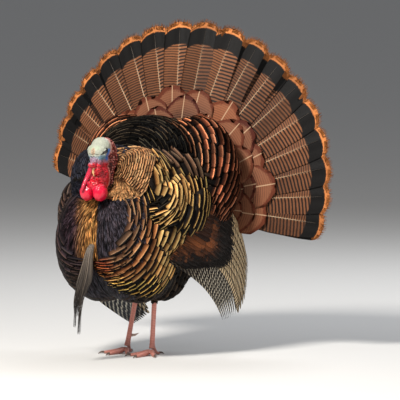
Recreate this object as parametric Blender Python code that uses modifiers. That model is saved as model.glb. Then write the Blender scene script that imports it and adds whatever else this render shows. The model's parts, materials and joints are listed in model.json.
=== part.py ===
"""A displaying wild turkey gobbler at life size, as a still museum model.

Metres, +Z up. The bird faces -Y and stands on the plane Z = 0; +X is its left side.
Every solid holds the outline out to the tips of the feathers, and touching solids keep a gap of GAP.
"""
import math

import bmesh
import bpy
from mathutils import Matrix, Vector

GAP = 0.00035

# Trunk: the puffed coat as blended swellings, each (centre, half sizes); a +X centre is mirrored to -X.
BREAST_LOBE = ((0.046, -0.083, 0.277), (0.106, 0.150, 0.152))
CROP = ((0.0, -0.085, 0.370), (0.062, 0.070, 0.085))
RUFF_LOBE = ((0.058, -0.088, 0.425), (0.070, 0.072, 0.082))
BACK_HUMP = ((0.0, 0.062, 0.405), (0.168, 0.155, 0.170))
RUMP_LOBE = ((0.088, 0.105, 0.420), (0.110, 0.085, 0.150))
BELLY = ((0.0, 0.030, 0.262), (0.150, 0.140, 0.125))
VENT = ((0.0, 0.165, 0.290), (0.115, 0.100, 0.120))
THIGH = ((0.055, 0.020, 0.200), (0.062, 0.078, 0.078))

# Where the trunk is parted: planes across Y behind the breast and at the tail, and across Z on either side.
TRUNK_CUTS = {"front": -0.020, "tail": 0.162, "ruff": 0.362, "back": 0.330}

# Tail: eighteen quills spread from a hub in the rump, curving back from it like a shallow cone.
FAN_HUB = Vector((0.0, 0.161, 0.358))
FAN_RADIUS = 0.453
FAN_SHORTENING = 0.136
FAN_ROLL = math.radians(11.0)
FAN_LEAN = math.radians(2.0)
FAN_CONE = math.radians(10.5)
FAN_QUILLS = 18
QUILL_STEP = math.radians(10.08)
FAN_THICKNESS = 0.0080
FAN_INNER = 0.075
COVERT_REACH = 0.645
COVERT_THICKNESS = 0.0060

# Wings, drooped beside the body: (Y, Z) of the joints, and where the tips of the flight feathers come, from the
# leading primary (order 0) to the innermost secondary (order 1).
WRIST = (-0.115, 0.243)
ELBOW = (-0.015, 0.385)
WING_TIPS = ((0.00, 0.175, 0.073), (0.12, 0.214, 0.076), (0.25, 0.262, 0.086), (0.38, 0.268, 0.115),
             (0.55, 0.248, 0.172), (0.70, 0.240, 0.226), (0.85, 0.222, 0.266), (1.00, 0.160, 0.323))
PRIMARY_SHARE = 0.42
PRIMARY_NOTCH = 0.050
SECONDARY_NOTCH = 0.015
RIGHT_WING_DROP = 0.013
WING_OUT = 0.178
WING_THICKNESS = 0.0060
WING_PAD = ((0.142, 0.000, 0.330), (0.034, 0.145, 0.108))

# Head and neck
SKULL = ((0.0, -0.1725, 0.5060), (0.0250, 0.0270, 0.0250))
BROW = ((0.0, -0.1900, 0.4960), (0.0245, 0.0225, 0.0220))
FACE = ((0.0, -0.1960, 0.4780), (0.0160, 0.0150, 0.0175))
JAW = ((0.0, -0.1760, 0.4750), (0.0190, 0.0210, 0.0200))
EYE_CENTRE = (0.0205, -0.1910, 0.4985)
EYE_RADIUS = 0.0062
NECK_PATH = ((0, -0.105, 0.375), (0, -0.133, 0.430), (0, -0.137, 0.478), (0, -0.146, 0.503), (0, -0.165, 0.512))
NECK_RADII = (0.030, 0.0235, 0.0200, 0.0195, 0.0195)
THROAT = ((0.0, -0.176, 0.437), (0.0205, 0.0265, 0.0355))
CARUNCLE = ((0.0175, -0.209, 0.4015), (0.0162, 0.0180, 0.0208))
BILL_UPPER_PATH = ((0, -0.198, 0.482), (0, -0.2080, 0.469), (0, -0.2105, 0.453), (0, -0.2066, 0.4385))
BILL_UPPER_RADII = (0.0080, 0.0068, 0.0046, 0.0010)
BILL_LOWER_PATH = ((0, -0.188, 0.474), (0, -0.1965, 0.462), (0, -0.2005, 0.450), (0, -0.2010, 0.4425))
BILL_LOWER_RADII = (0.0060, 0.0048, 0.0032, 0.0009)
SNOOD_PATH = ((0.0030, -0.2035, 0.4875), (0.0005, -0.2085, 0.4705), (-0.0060, -0.2130, 0.4540),
              (-0.0125, -0.2189, 0.4350), (-0.0165, -0.2291, 0.4162), (-0.0185, -0.2330, 0.4050))
SNOOD_RADII = (0.0080, 0.0084, 0.0068, 0.0056, 0.0048, 0.0030)
BEARD_PATH = ((0, -0.205, 0.288), (-0.001, -0.2260, 0.262), (-0.004, -0.2410, 0.200), (-0.010, -0.2515, 0.166),
              (-0.0145, -0.2565, 0.138), (-0.018, -0.2590, 0.066))
BEARD_RADII = (0.0060, 0.0105, 0.0225, 0.0150, 0.0100, 0.0016)
BEARD_FLATTENING = 0.50
# Legs: (X, Y, Z) for the left leg; the right one is mirrored and stands further back.
HOCK = Vector((0.0325, 0.022, 0.146))
ANKLE = Vector((0.0425, -0.0085, 0.016))
RIGHT_LEG_SHIFT = Vector((0.0, 0.0265, 0.0))
SHANK_RADII = (0.0100, 0.0074, 0.0067, 0.0074, 0.0088)
SHANK_NARROWING = 0.82
SPUR_LENGTH = 0.027
TOE_RADIUS = 0.0062
CLAW_LENGTH = 0.016
# Each toe: (length without its claw, heading in degrees from straight ahead, outwards positive).
FRONT_TOES = {"inner": (0.048, -33.0), "middle": (0.068, 2.0), "outer": (0.050, 37.0)}
HALLUX_LENGTH = 0.024

HORN = (0.47, 0.36, 0.24, 1.0)
MATERIALS = {
    "coat": ((0.11, 0.075, 0.045, 1.0), 0.45, 0.0),
    "tail": ((0.30, 0.15, 0.07, 1.0), 0.60, 0.0),
    "flight": ((0.35, 0.31, 0.25, 1.0), 0.55, 0.0),
    "crown": ((0.83, 0.84, 0.78, 1.0), 0.50, 0.0),
    "wattle": ((0.72, 0.02, 0.03, 1.0), 0.30, 0.0),
    "skin": ((0.62, 0.16, 0.12, 1.0), 0.45, 0.0),
    "leg": ((0.60, 0.25, 0.21, 1.0), 0.50, 0.0),
    "horn": (HORN, 0.35, 0.0),
    "eye": ((0.03, 0.015, 0.01, 1.0), 0.08, 0.0),
    "beard": ((0.055, 0.048, 0.042, 1.0), 0.60, 0.0),
}


def clear_scene():
    for thing in list(bpy.data.objects):
        bpy.data.objects.remove(thing)


def collection(name):
    made = bpy.data.collections.new(name)
    bpy.context.scene.collection.children.link(made)
    return made


def material(name):
    found = bpy.data.materials.get(name)
    if found:
        return found
    colour, roughness, metallic = MATERIALS[name]
    found = bpy.data.materials.new(name)
    found.use_nodes = True
    shader = found.node_tree.nodes["Principled BSDF"]
    shader.inputs["Base Color"].default_value = colour
    shader.inputs["Roughness"].default_value = roughness
    shader.inputs["Metallic"].default_value = metallic
    return found


def link(name, mesh, slot):
    """A new object of the bird, smooth shaded, in its material."""
    made = bpy.data.objects.new(name, mesh)
    BIRD.objects.link(made)
    mesh.materials.clear()
    mesh.materials.append(material(slot))
    mesh.shade_smooth()
    return made


def applied(thing):
    """The object's mesh with its modifiers made real, its doubles merged and its faces outwards."""
    bpy.context.view_layer.update()
    graph = bpy.context.evaluated_depsgraph_get()
    mesh = bpy.data.meshes.new_from_object(thing.evaluated_get(graph))
    mesh.transform(thing.matrix_world)
    form = bmesh.new()
    form.from_mesh(mesh)
    bmesh.ops.remove_doubles(form, verts=form.verts, dist=0.000005)
    bmesh.ops.recalc_face_normals(form, faces=form.faces)
    form.to_mesh(mesh)
    form.free()
    return mesh


def finish(name, thing, slot):
    """Replaces a working object with its applied mesh under the node's name."""
    mesh = applied(thing)
    bpy.data.objects.remove(thing)
    return link(name, mesh, slot)


def swellings(name, lumps, voxel, rounds, triangles, slot, sides=(1, -1)):
    """Ellipsoids, each on the given sides of the bird, grown into one smooth body of about so many triangles."""
    form = bmesh.new()
    for centre, half in lumps:
        for side in (sides if centre[0] > 0 else (1,)):
            place = Matrix.Translation((centre[0] * side, centre[1], centre[2]))
            size = Matrix.Diagonal((*half, 1.0))
            bmesh.ops.create_uvsphere(form, u_segments=40, v_segments=28, radius=1.0, matrix=place @ size)
    mesh = bpy.data.meshes.new(name)
    form.to_mesh(mesh)
    form.free()
    body = link(name + "_work", mesh, slot)
    skin = body.modifiers.new("skin", "REMESH")
    skin.mode, skin.voxel_size = "VOXEL", voxel
    smooth = body.modifiers.new("smooth", "SMOOTH")
    smooth.factor, smooth.iterations = 0.5, rounds
    dense = finish(name, body, slot)
    thin = dense.modifiers.new("thin", "DECIMATE")
    thin.ratio = min(1.0, triangles / max(1, 2 * len(dense.data.polygons)))
    thin.use_symmetry = len(sides) == 2
    thin.symmetry_axis = "X"
    dense.name = name + "_dense"
    return finish(name, dense, slot)


def taper(name, path, radii, slot, flat=(1.0, 1.0), sides=2, smoothness=3):
    """A round, tapering length of body along a smooth path; flat scales it across in X and Y about the path."""
    line = bpy.data.curves.new(name, "CURVE")
    line.dimensions = "3D"
    line.bevel_depth, line.bevel_resolution = 1.0, sides
    line.resolution_u = smoothness
    line.use_fill_caps = True
    spline = line.splines.new("BEZIER")
    spline.bezier_points.add(len(path) - 1)
    for point, place, radius in zip(spline.bezier_points, path, radii):
        point.co = (place[0] / flat[0], place[1] / flat[1], place[2])
        point.radius = radius
        point.handle_left_type = point.handle_right_type = "AUTO"
    work = bpy.data.objects.new(name + "_work", line)
    BIRD.objects.link(work)
    work.scale = (flat[0], flat[1], 1.0)
    return finish(name, work, slot)


def sheet(name, rows, columns, place, thickness, slot):
    """A grid carried onto a curved surface by place(u, v), both from 0 to 1, and given its thickness."""
    form = bmesh.new()
    bmesh.ops.create_grid(form, x_segments=columns, y_segments=rows, size=0.5)
    for corner in form.verts:
        corner.co = place(corner.co.x + 0.5, corner.co.y + 0.5)
    mesh = bpy.data.meshes.new(name)
    form.to_mesh(mesh)
    form.free()
    work = link(name + "_work", mesh, slot)
    wall = work.modifiers.new("wall", "SOLIDIFY")
    wall.thickness, wall.offset = thickness, 0.0
    return finish(name, work, slot)


def grown(thing):
    """A cutter: the same shape, larger by the gap that touching solids keep."""
    cutter = bpy.data.objects.new(thing.name + "_cutter", thing.data.copy())
    CUTTERS.objects.link(cutter)
    cutter.hide_render, cutter.display_type = True, "WIRE"
    push = cutter.modifiers.new("gap", "DISPLACE")
    push.strength, push.mid_level = GAP * 2, 0.0
    return cutter


def block(name, centre, half, tilt=0.0):
    """A cutter: a box turned by tilt about X."""
    form = bmesh.new()
    turned = Matrix.Translation(centre) @ Matrix.Rotation(tilt, 4, "X") @ Matrix.Diagonal((*half, 1.0))
    bmesh.ops.create_cube(form, size=2.0, matrix=turned)
    mesh = bpy.data.meshes.new(name)
    form.to_mesh(mesh)
    form.free()
    cutter = bpy.data.objects.new(name, mesh)
    CUTTERS.objects.link(cutter)
    cutter.hide_render, cutter.display_type = True, "WIRE"
    return cutter


def carve(thing, cutters, operation="DIFFERENCE"):
    """Cuts the solid with each cutter, and keeps its largest piece."""
    for cutter in cutters:
        cut = thing.modifiers.new("cut", "BOOLEAN")
        cut.operation, cut.object, cut.solver = operation, cutter, "EXACT"
    name, slot = thing.name, thing.data.materials[0].name
    mesh = applied(thing)
    keep_largest(mesh)
    bpy.data.objects.remove(thing)
    for cutter in cutters:
        bpy.data.objects.remove(cutter)
    return link(name, mesh, slot)


def keep_largest(mesh):
    """Drops the slivers that a cut leaves beside the main piece."""
    form = bmesh.new()
    form.from_mesh(mesh)
    waiting, pieces = set(form.verts), []
    while waiting:
        piece, edge_of_search = set(), [waiting.pop()]
        while edge_of_search:
            corner = edge_of_search.pop()
            piece.add(corner)
            for edge in corner.link_edges:
                other = edge.other_vert(corner)
                if other in waiting:
                    waiting.discard(other)
                    edge_of_search.append(other)
        pieces.append(piece)
    pieces.sort(key=len)
    for piece in pieces[:-1]:
        bmesh.ops.delete(form, geom=list(piece), context="VERTS")
    form.to_mesh(mesh)
    form.free()


def box(thing):
    """The lowest and highest corners of the solid."""
    points = [corner.co for corner in thing.data.vertices]
    return [min(point[i] for point in points) for i in range(3)], [max(point[i] for point in points) for i in range(3)]


def meets(one, other):
    (low, high), (other_low, other_high) = box(one), box(other)
    return all(low[i] < other_high[i] + 2 * GAP and other_low[i] < high[i] + 2 * GAP for i in range(3))


def fit_together(wholes):
    """Gives each solid its place: it makes room for those before it in the list that it meets."""
    for whole in wholes:
        whole.name += "_whole"
    for index, whole in enumerate(wholes):
        cutters = [grown(other) for other in wholes[:index] if meets(whole, other)]
        carve(duplicate(whole, whole.name.replace("_whole", "")), cutters)
    for whole in wholes:
        bpy.data.objects.remove(whole)


def duplicate(thing, name):
    copy = bpy.data.objects.new(name, thing.data.copy())
    BIRD.objects.link(copy)
    return copy


def mirrored(thing, name, shift=Vector((0, 0, 0))):
    """The right-hand twin of a left-hand solid."""
    mesh = thing.data.copy()
    mesh.transform(Matrix.Translation(shift) @ Matrix.Diagonal((-1.0, 1.0, 1.0, 1.0)))
    mesh.flip_normals()
    return link(name, mesh, thing.data.materials[0].name)


def fan_point(reach, angle, lift=0.0):
    """A point of the tail: reach metres from the hub, angle from its middle quills, lift towards the head."""
    upright = Vector((0.0, math.sin(FAN_LEAN), math.cos(FAN_LEAN)))
    sideways = Vector((1.0, 0.0, 0.0))
    middle = upright * math.cos(FAN_ROLL) + sideways * math.sin(FAN_ROLL)
    across = sideways * math.cos(FAN_ROLL) - upright * math.sin(FAN_ROLL)
    forward = across.cross(middle)
    spoke = middle * math.cos(angle) + across * math.sin(angle)
    bent = spoke * math.cos(FAN_CONE) - forward * math.sin(FAN_CONE)
    return FAN_HUB + bent * reach + forward * lift


def quill_reach(angle, scallop):
    """The tail's outline: shorter to the sides, with a round end to each quill."""
    length = FAN_RADIUS * (1.0 - FAN_SHORTENING * (angle / (math.pi / 2)) ** 2)
    across = (angle / QUILL_STEP) % 1.0 - 0.5
    return length * (1.0 - scallop * (2 * across) ** 2)


def tail():
    """The fan of quills, and the coverts over their lower half in front and behind."""
    half_spread = QUILL_STEP * FAN_QUILLS / 2

    def quills(u, v):
        angle = (2 * u - 1) * half_spread * (0.93 + 0.07 * v)
        pleat = 0.0009 * math.cos(2 * math.pi * angle / QUILL_STEP)
        return fan_point(FAN_INNER + v * (quill_reach(angle, 0.018) - FAN_INNER), angle, pleat)

    fan = sheet("tail_fan", 1, FAN_QUILLS * 4, quills, FAN_THICKNESS, "tail")
    reach = FAN_RADIUS * COVERT_REACH

    def coverts(lift, share, margin=0.0):
        """The coverts' surface, grown by margin at its sides and inner edge."""
        def place(u, v):
            angle = (2 * u - 1) * (half_spread * 0.985 + margin / FAN_INNER)
            end = reach * share * (quill_reach(angle, 0.05) / FAN_RADIUS)
            return fan_point(FAN_INNER - margin + v * (end - FAN_INNER + margin), angle, lift)
        return place

    spacing = (FAN_THICKNESS + COVERT_THICKNESS) / 2 + 0.0009 + GAP * 2
    columns = FAN_QUILLS * 2
    upper = sheet("tail_coverts_upper", 1, columns, coverts(spacing, 1.0), COVERT_THICKNESS, "tail")
    under = sheet("tail_coverts_under", 1, columns, coverts(-spacing, 0.92), COVERT_THICKNESS, "tail")
    depth = 2 * spacing + COVERT_THICKNESS + 6 * GAP
    socket = sheet("tail_socket", 1, columns, coverts(0.0, 1.1, 0.004), depth, "tail")
    return socket


def wing_out(y, z):
    """How far out the wing's surface lies: drawn in at the wrist, behind the body and towards the feet."""
    before, behind, below = max(0.0, 0.05 - y), max(0.0, y - 0.05), max(0.0, 0.22 - z)
    return WING_OUT - 1.6 * before ** 2 - 0.35 * behind ** 2 - 1.9 * below ** 2


def flight_feather(side, order):
    """(root, tip) in (Y, Z) of the flight feather at the given order."""
    root = [w + (e - w) * order for w, e in zip(WRIST, ELBOW)]
    for (low, y0, z0), (high, y1, z1) in zip(WING_TIPS, WING_TIPS[1:]):
        if low <= order <= high:
            along = (order - low) / (high - low)
            tip = [y0 + (y1 - y0) * along, z0 + (z1 - z0) * along]
    if side == "right":
        tip[1] -= RIGHT_WING_DROP * (1.0 - order)
    return root, tip


def flight_sheet(side, name, start, end, feathers, notch):
    """A stretch of the spread flight feathers, from order start to end, on the wing's curved side."""
    sign = 1 if side == "left" else -1

    def place(u, v):
        root, tip = flight_feather(side, start + (end - start) * u)
        between = abs(math.cos(math.pi * feathers * u))
        reach = v * (1.0 - notch * between)
        y, z = (r + (t - r) * reach for r, t in zip(root, tip))
        return Vector((sign * wing_out(y, z), y, z))

    return sheet(name, 2, feathers * 2, place, WING_THICKNESS, "flight")


def wing(side):
    """The arm with its coverts, the primaries and the secondaries of one side."""
    sign = 1 if side == "left" else -1
    arm = swellings("wing_coverts_" + side, [WING_PAD], 0.006, 4, 240, "coat", sides=(sign,))
    share = PRIMARY_SHARE
    primaries = flight_sheet(side, "wing_primaries_" + side, 0.0, share - 0.005, 9, PRIMARY_NOTCH)
    secondaries = flight_sheet(side, "wing_secondaries_" + side, share + 0.005, 1.0, 9, SECONDARY_NOTCH)
    return [arm, primaries, secondaries]


def floor_cut(thing):
    """Flattens what reaches below the floor, so that it stands on a small flat."""
    return carve(thing, [block("floor", (0, 0, -0.1), (1, 1, 0.1))])


def toe_line(start, heading, length, rise):
    """Points of a toe that leaves start along heading and comes down to the floor, with a low knuckle."""
    way = Vector((math.sin(heading), -math.cos(heading), 0.0))
    ground = TOE_RADIUS * 0.50
    return [start + way * (length * t) + Vector((0, 0, (ground - start.z) * min(1, t * 2.2) + rise * math.sin(t * math.pi)))
            for t in (0.0, 0.33, 0.66, 1.0)]


def toe(name, start, heading, length, radius):
    """One toe and its claw as two solids on the floor."""
    points = toe_line(start, heading, length, 0.0012)
    pad = taper(name, points, (radius, radius * 0.95, radius * 0.86, radius * 0.66), "leg", sides=1, smoothness=2)
    way = Vector((math.sin(heading), -math.cos(heading), 0.0))
    tip = points[-1]
    hook = [tip - way * 0.003 + Vector((0, 0, 0.0008)), tip + way * CLAW_LENGTH * 0.5 + Vector((0, 0, 0.0012)),
            tip + way * CLAW_LENGTH + Vector((0, 0, -0.0028))]
    claw = taper(name.replace("toe", "claw"), hook, (0.0034, 0.0026, 0.0007), "horn", sides=1, smoothness=2)
    return floor_cut(pad), floor_cut(claw)


def leg():
    """The left leg below the coat: scaled shank, spur, three front toes, the hind toe and their claws."""
    shank_line = [HOCK.lerp(ANKLE, t) for t in (0.0, 0.12, 0.5, 0.88, 1.0)]
    shank = taper("shank_left", shank_line, SHANK_RADII, "leg", flat=(SHANK_NARROWING, 1.0), sides=2, smoothness=2)
    foot = Vector((ANKLE.x, ANKLE.y - 0.002, 0.0095))
    toes = []
    for label, (length, heading) in FRONT_TOES.items():
        way = Vector((math.sin(math.radians(heading)), -math.cos(math.radians(heading)), 0.0))
        toes += toe(f"toe_{label}_left", foot + way * 0.0085, math.radians(heading), length, TOE_RADIUS)
    hind_start = HOCK.lerp(ANKLE, 0.90)
    toes += toe("toe_hind_left", hind_start, math.radians(180 - 14), HALLUX_LENGTH, TOE_RADIUS * 0.78)
    spur_root = HOCK.lerp(ANKLE, 0.80)
    back = Vector((-0.50, 0.86, 0.0)).normalized()
    spur_line = [spur_root + back * 0.002, spur_root + back * SPUR_LENGTH * 0.6,
                 spur_root + back * SPUR_LENGTH + Vector((0, 0, 0.004))]
    spur = taper("spur_left", spur_line, (0.0048, 0.0030, 0.0006), "horn", sides=1, smoothness=2)
    return [shank, *toes, spur]


def head():
    """Eyes, skull, bill, snood, the two red lobes, the bare part of the neck, and the throat."""
    eyes = []
    for side, sign in (("left", 1), ("right", -1)):
        form = bmesh.new()
        centre = Matrix.Translation((EYE_CENTRE[0] * sign, *EYE_CENTRE[1:]))
        bmesh.ops.create_uvsphere(form, u_segments=12, v_segments=8, radius=EYE_RADIUS, matrix=centre)
        mesh = bpy.data.meshes.new("eye")
        form.to_mesh(mesh)
        form.free()
        eyes.append(link("eye_" + side, mesh, "eye"))
    skull = swellings("head", [SKULL, BROW, FACE, JAW], 0.0022, 8, 400, "crown")
    upper = taper("bill_upper", BILL_UPPER_PATH, BILL_UPPER_RADII, "horn", sides=1)
    lower = taper("bill_lower", BILL_LOWER_PATH, BILL_LOWER_RADII, "horn", sides=1)
    snood = taper("snood", SNOOD_PATH, SNOOD_RADII, "wattle", sides=1, smoothness=2)
    lobes = [swellings("caruncle_" + side, [CARUNCLE], 0.002, 3, 150, "wattle", sides=(sign,))
             for side, sign in (("left", 1), ("right", -1))]
    throat = swellings("wattle_throat", [THROAT], 0.003, 3, 180, "wattle")
    neck = taper("neck", NECK_PATH, NECK_RADII, "skin", sides=2, smoothness=3)
    return [*eyes, skull, upper, lower, snood, *lobes, neck, throat]


def trunk():
    """The puffed body as one shape, before it is parted."""
    lumps = [BREAST_LOBE, CROP, RUFF_LOBE, BACK_HUMP, RUMP_LOBE, BELLY, VENT, THIGH]
    return swellings("trunk", lumps, 0.0085, 7, 1500, "coat")


def part_trunk(body, socket):
    """Parts the trunk into ruff, breast, back, belly and vent by thin plane cuts, clear of the tail's socket."""
    front, tail_side = TRUNK_CUTS["front"], TRUNK_CUTS["tail"]
    upper, lower = TRUNK_CUTS["ruff"], TRUNK_CUTS["back"]
    spans = {
        # name: ((lowest, highest) in Y, (lowest, highest) in Z)
        "neck_ruff": ((-1.0, front), (upper, 1.0)),
        "breast": ((-1.0, front), (-1.0, upper)),
        "back": ((front, tail_side), (lower, 1.0)),
        "belly": ((front, tail_side), (-1.0, lower)),
        "vent": ((tail_side, 1.0), (-1.0, 1.0)),
    }
    for name, ((near, far), (low, high)) in spans.items():
        centre = (0.0, (near + far) / 2, (low + high) / 2)
        half = (1.0, (far - near) / 2 - GAP / 2, (high - low) / 2 - GAP / 2)
        carve(duplicate(body, name), [block(name + "_part", centre, half)], "INTERSECT")
        carve(bpy.data.objects[name], [grown(socket)])
    for whole in (body, socket):
        bpy.data.objects.remove(whole)


def settle(parts):
    """Moves the bird so that its box stands centred on the origin."""
    points = [part.matrix_world @ corner.co for part in parts for corner in part.data.vertices]
    low = Vector([min(point[i] for point in points) for i in range(3)])
    high = Vector([max(point[i] for point in points) for i in range(3)])
    shift = Matrix.Translation((-(low.x + high.x) / 2, -(low.y + high.y) / 2, -low.z))
    for part in parts:
        part.data.transform(shift)


clear_scene()
BIRD = collection("wild_turkey")
CUTTERS = collection("cutters")

left_leg = leg()
right_leg = [mirrored(part, part.name.replace("left", "right"), RIGHT_LEG_SHIFT) for part in left_leg]
fit_together([trunk(), *head(), *wing("left"), *wing("right"),
              taper("beard", BEARD_PATH, BEARD_RADII, "beard", flat=(1.0, BEARD_FLATTENING), sides=1),
              *left_leg, *right_leg])
part_trunk(bpy.data.objects["trunk"], tail())
settle(list(BIRD.objects))
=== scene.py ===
import json
import math

import bmesh
import bpy
import numpy as np
from bpy.props import FloatProperty, FloatVectorProperty, IntProperty, PointerProperty
from mathutils import Matrix, Vector, noise
from mathutils.bvhtree import BVHTree

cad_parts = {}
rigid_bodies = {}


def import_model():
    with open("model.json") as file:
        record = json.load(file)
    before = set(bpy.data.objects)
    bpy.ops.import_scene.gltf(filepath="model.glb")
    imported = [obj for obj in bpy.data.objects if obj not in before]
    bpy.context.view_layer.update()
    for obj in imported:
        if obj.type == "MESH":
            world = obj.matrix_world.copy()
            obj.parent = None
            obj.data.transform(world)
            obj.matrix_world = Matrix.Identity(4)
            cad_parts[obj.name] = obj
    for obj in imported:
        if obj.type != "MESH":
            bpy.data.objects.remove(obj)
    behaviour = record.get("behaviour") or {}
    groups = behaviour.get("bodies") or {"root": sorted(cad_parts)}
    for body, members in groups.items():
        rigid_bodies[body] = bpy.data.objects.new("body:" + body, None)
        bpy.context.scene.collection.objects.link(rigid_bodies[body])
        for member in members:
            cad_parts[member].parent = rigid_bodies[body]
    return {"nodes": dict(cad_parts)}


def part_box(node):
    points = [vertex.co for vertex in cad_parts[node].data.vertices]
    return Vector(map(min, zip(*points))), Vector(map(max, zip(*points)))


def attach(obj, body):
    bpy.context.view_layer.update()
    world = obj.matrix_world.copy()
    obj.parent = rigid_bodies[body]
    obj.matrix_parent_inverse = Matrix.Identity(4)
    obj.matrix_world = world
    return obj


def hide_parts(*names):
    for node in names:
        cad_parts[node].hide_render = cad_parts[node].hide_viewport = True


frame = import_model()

bl_info = {
    "name": "Displaying wild turkey",
    "version": (1, 0, 0),
    "blender": (4, 5, 0),
    "location": "3D View > Sidebar > Turkey",
    "description": "Builds the skin, plumage, bare parts and stage of a displaying wild turkey",
    "category": "Add Mesh",
}

NODES = frame["nodes"]
SIDES = (("left", 1), ("right", -1))

# The middle of the left eye in the bird's own plan, whose zero is on the ground between the feet.
EYE = Vector((0.0205, -0.1910, 0.4985))
EYE_RADIUS = 0.0062


def middle(node):
    """The middle of a solid's box."""
    low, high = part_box(node)
    return (Vector(low) + Vector(high)) / 2


ORIGIN = middle("eye_left") - EYE
for stray in [o for o in bpy.data.objects if o.name in ("Cube", "Camera", "Light")]:
    bpy.data.objects.remove(stray)
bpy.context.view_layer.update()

FLESH = ["back", "belly", "breast", "vent", "neck_ruff", "wing_coverts_left", "wing_coverts_right"]
FACE = ["head", "neck", "wattle_throat", "caruncle_left", "caruncle_right", "snood"]
LEG = ("shank", "toe_inner", "toe_middle", "toe_outer", "toe_hind")
LEGS = [f"{label}_{name}" for name, _ in SIDES for label in LEG]

# Corners of a solid's loose triangles that lie closer than this are one.
MERGE_GAP = 2e-6


def at(x, y, z):
    """A point of the bird's plan, in the row frame."""
    return Vector((x, y, z)) + ORIGIN


def local(points):
    """Row-frame points as points of the bird's plan."""
    return points - np.array(ORIGIN)


def placed(points):
    """Points of the bird's plan as row-frame points."""
    return points + np.array(ORIGIN)


# ---------------------------------------------------------------- meshes


def new_object(name, data):
    """An object for a mesh, a camera or a lamp, in the scene."""
    thing = bpy.data.objects.new(name, data)
    bpy.context.scene.collection.objects.link(thing)
    return thing


def mesh_from_arrays(name, points, quads, triangles):
    """A smooth mesh from arrays of points, four-sided faces and three-sided faces."""
    mesh = bpy.data.meshes.new(name)
    mesh.vertices.add(len(points))
    mesh.vertices.foreach_set("co", np.asarray(points, np.float32).ravel())
    corners = np.concatenate([quads.ravel(), triangles.ravel()]).astype(np.int32)
    mesh.loops.add(len(corners))
    mesh.loops.foreach_set("vertex_index", corners)
    starts = np.concatenate([np.arange(len(quads)) * 4, len(quads) * 4 + np.arange(len(triangles)) * 3])
    mesh.polygons.add(len(starts))
    mesh.polygons.foreach_set("loop_start", starts.astype(np.int32))
    mesh.polygons.foreach_set("use_smooth", np.ones(len(starts), bool))
    mesh.update(calc_edges=True)
    return mesh


def read(mesh, what):
    """A mesh's points, "co", or its point normals, "normal", as an array."""
    values = np.empty(len(mesh.vertices) * 3, np.float32)
    mesh.vertices.foreach_get(what, values)
    return values.reshape(-1, 3).astype(float)


def set_points(mesh, points):
    """Moves a mesh's points."""
    mesh.vertices.foreach_set("co", np.asarray(points, np.float32).ravel())
    mesh.update()


def carry(mesh, name, numbers):
    """Gives each point of a mesh a number of its own."""
    layer = mesh.attributes.new(name, "FLOAT", "POINT")
    layer.data.foreach_set("value", np.asarray(numbers, np.float32))


def mesh_of(name, form):
    """A mesh from a bmesh, which is freed."""
    mesh = bpy.data.meshes.new(name)
    form.to_mesh(mesh)
    form.free()
    return mesh


def copy_of(names):
    """One bmesh with merged copies of solids."""
    form = bmesh.new()
    for name in names:
        form.from_mesh(NODES[name].data)
    bmesh.ops.remove_doubles(form, verts=form.verts, dist=MERGE_GAP)
    return form


def modified(thing, *modifiers):
    """Runs modifiers, given as (type, settings), on a thing's mesh and keeps the result."""
    for kind, settings in modifiers:
        made = thing.modifiers.new(kind.lower(), kind)
        for key, value in settings.items():
            setattr(made, key, value)
    graph = bpy.context.evaluated_depsgraph_get()
    mesh = bpy.data.meshes.new_from_object(thing.evaluated_get(graph))
    thing.modifiers.clear()
    old = thing.data
    thing.data = mesh
    bpy.data.meshes.remove(old)


def remeshed(name, form, voxel, rounds, shrink=0.0):
    """An object with one closed smooth skin over a bmesh; shrink draws it in."""
    thing = new_object(name, mesh_of(name, form))
    wrap = ("REMESH", {"mode": "VOXEL", "voxel_size": voxel, "use_smooth_shade": True})
    ease = ("SMOOTH", {"factor": 0.5, "iterations": rounds})
    modified(thing, wrap, ease)
    if shrink:
        modified(thing, ("DISPLACE", {"strength": -shrink, "mid_level": 0.0}), wrap, ease)
    return thing


def soft(low, high, value):
    """0 below low, 1 above high and a soft rise between."""
    t = np.clip((value - low) / (high - low), 0.0, 1.0)
    return t * t * (3 - 2 * t)


def given(rule, *where):
    """A plain value, or what a rule says at a place."""
    return rule(*where) if callable(rule) else rule


def eased(*marks):
    """A rule that passes through (place, value) marks."""
    places, values = zip(*marks)
    return lambda place: np.interp(place, places, values)


def curve_through(points, count):
    """Evenly spread points on a smooth line through the given ones."""
    points = np.array([tuple(p) for p in points], float)
    padded = np.vstack([2 * points[0] - points[1], points, 2 * points[-1] - points[-2]])
    fine = []
    for i in range(1, len(padded) - 2):
        a, b, c, d = padded[i - 1:i + 3]
        for t in np.linspace(0, 1, 24, endpoint=False):
            fine.append(0.5 * (2 * b + (c - a) * t + (2 * a - 5 * b + 4 * c - d) * t * t
                               + (3 * b - a - 3 * c + d) * t ** 3))
    fine.append(padded[-2])
    fine = np.array(fine)
    run = np.concatenate([[0], np.cumsum(np.linalg.norm(np.diff(fine, axis=0), axis=1))])
    where = np.linspace(0, run[-1], count)
    return np.stack([np.interp(where, run, fine[:, k]) for k in range(3)], axis=1)


# ---------------------------------------------------------------- the body's outside and its tracts


HULL_VOXEL, HULL_ROUNDS, BODY_ROUNDS = 0.006, 6, 4


def body_hull():
    """The outside of the feathered body as one smooth closed mesh: feather tips lie on it."""
    thing = remeshed("hull", copy_of(FLESH), HULL_VOXEL, HULL_ROUNDS)
    return thing, BVHTree.FromObject(thing, bpy.context.evaluated_depsgraph_get())


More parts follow.
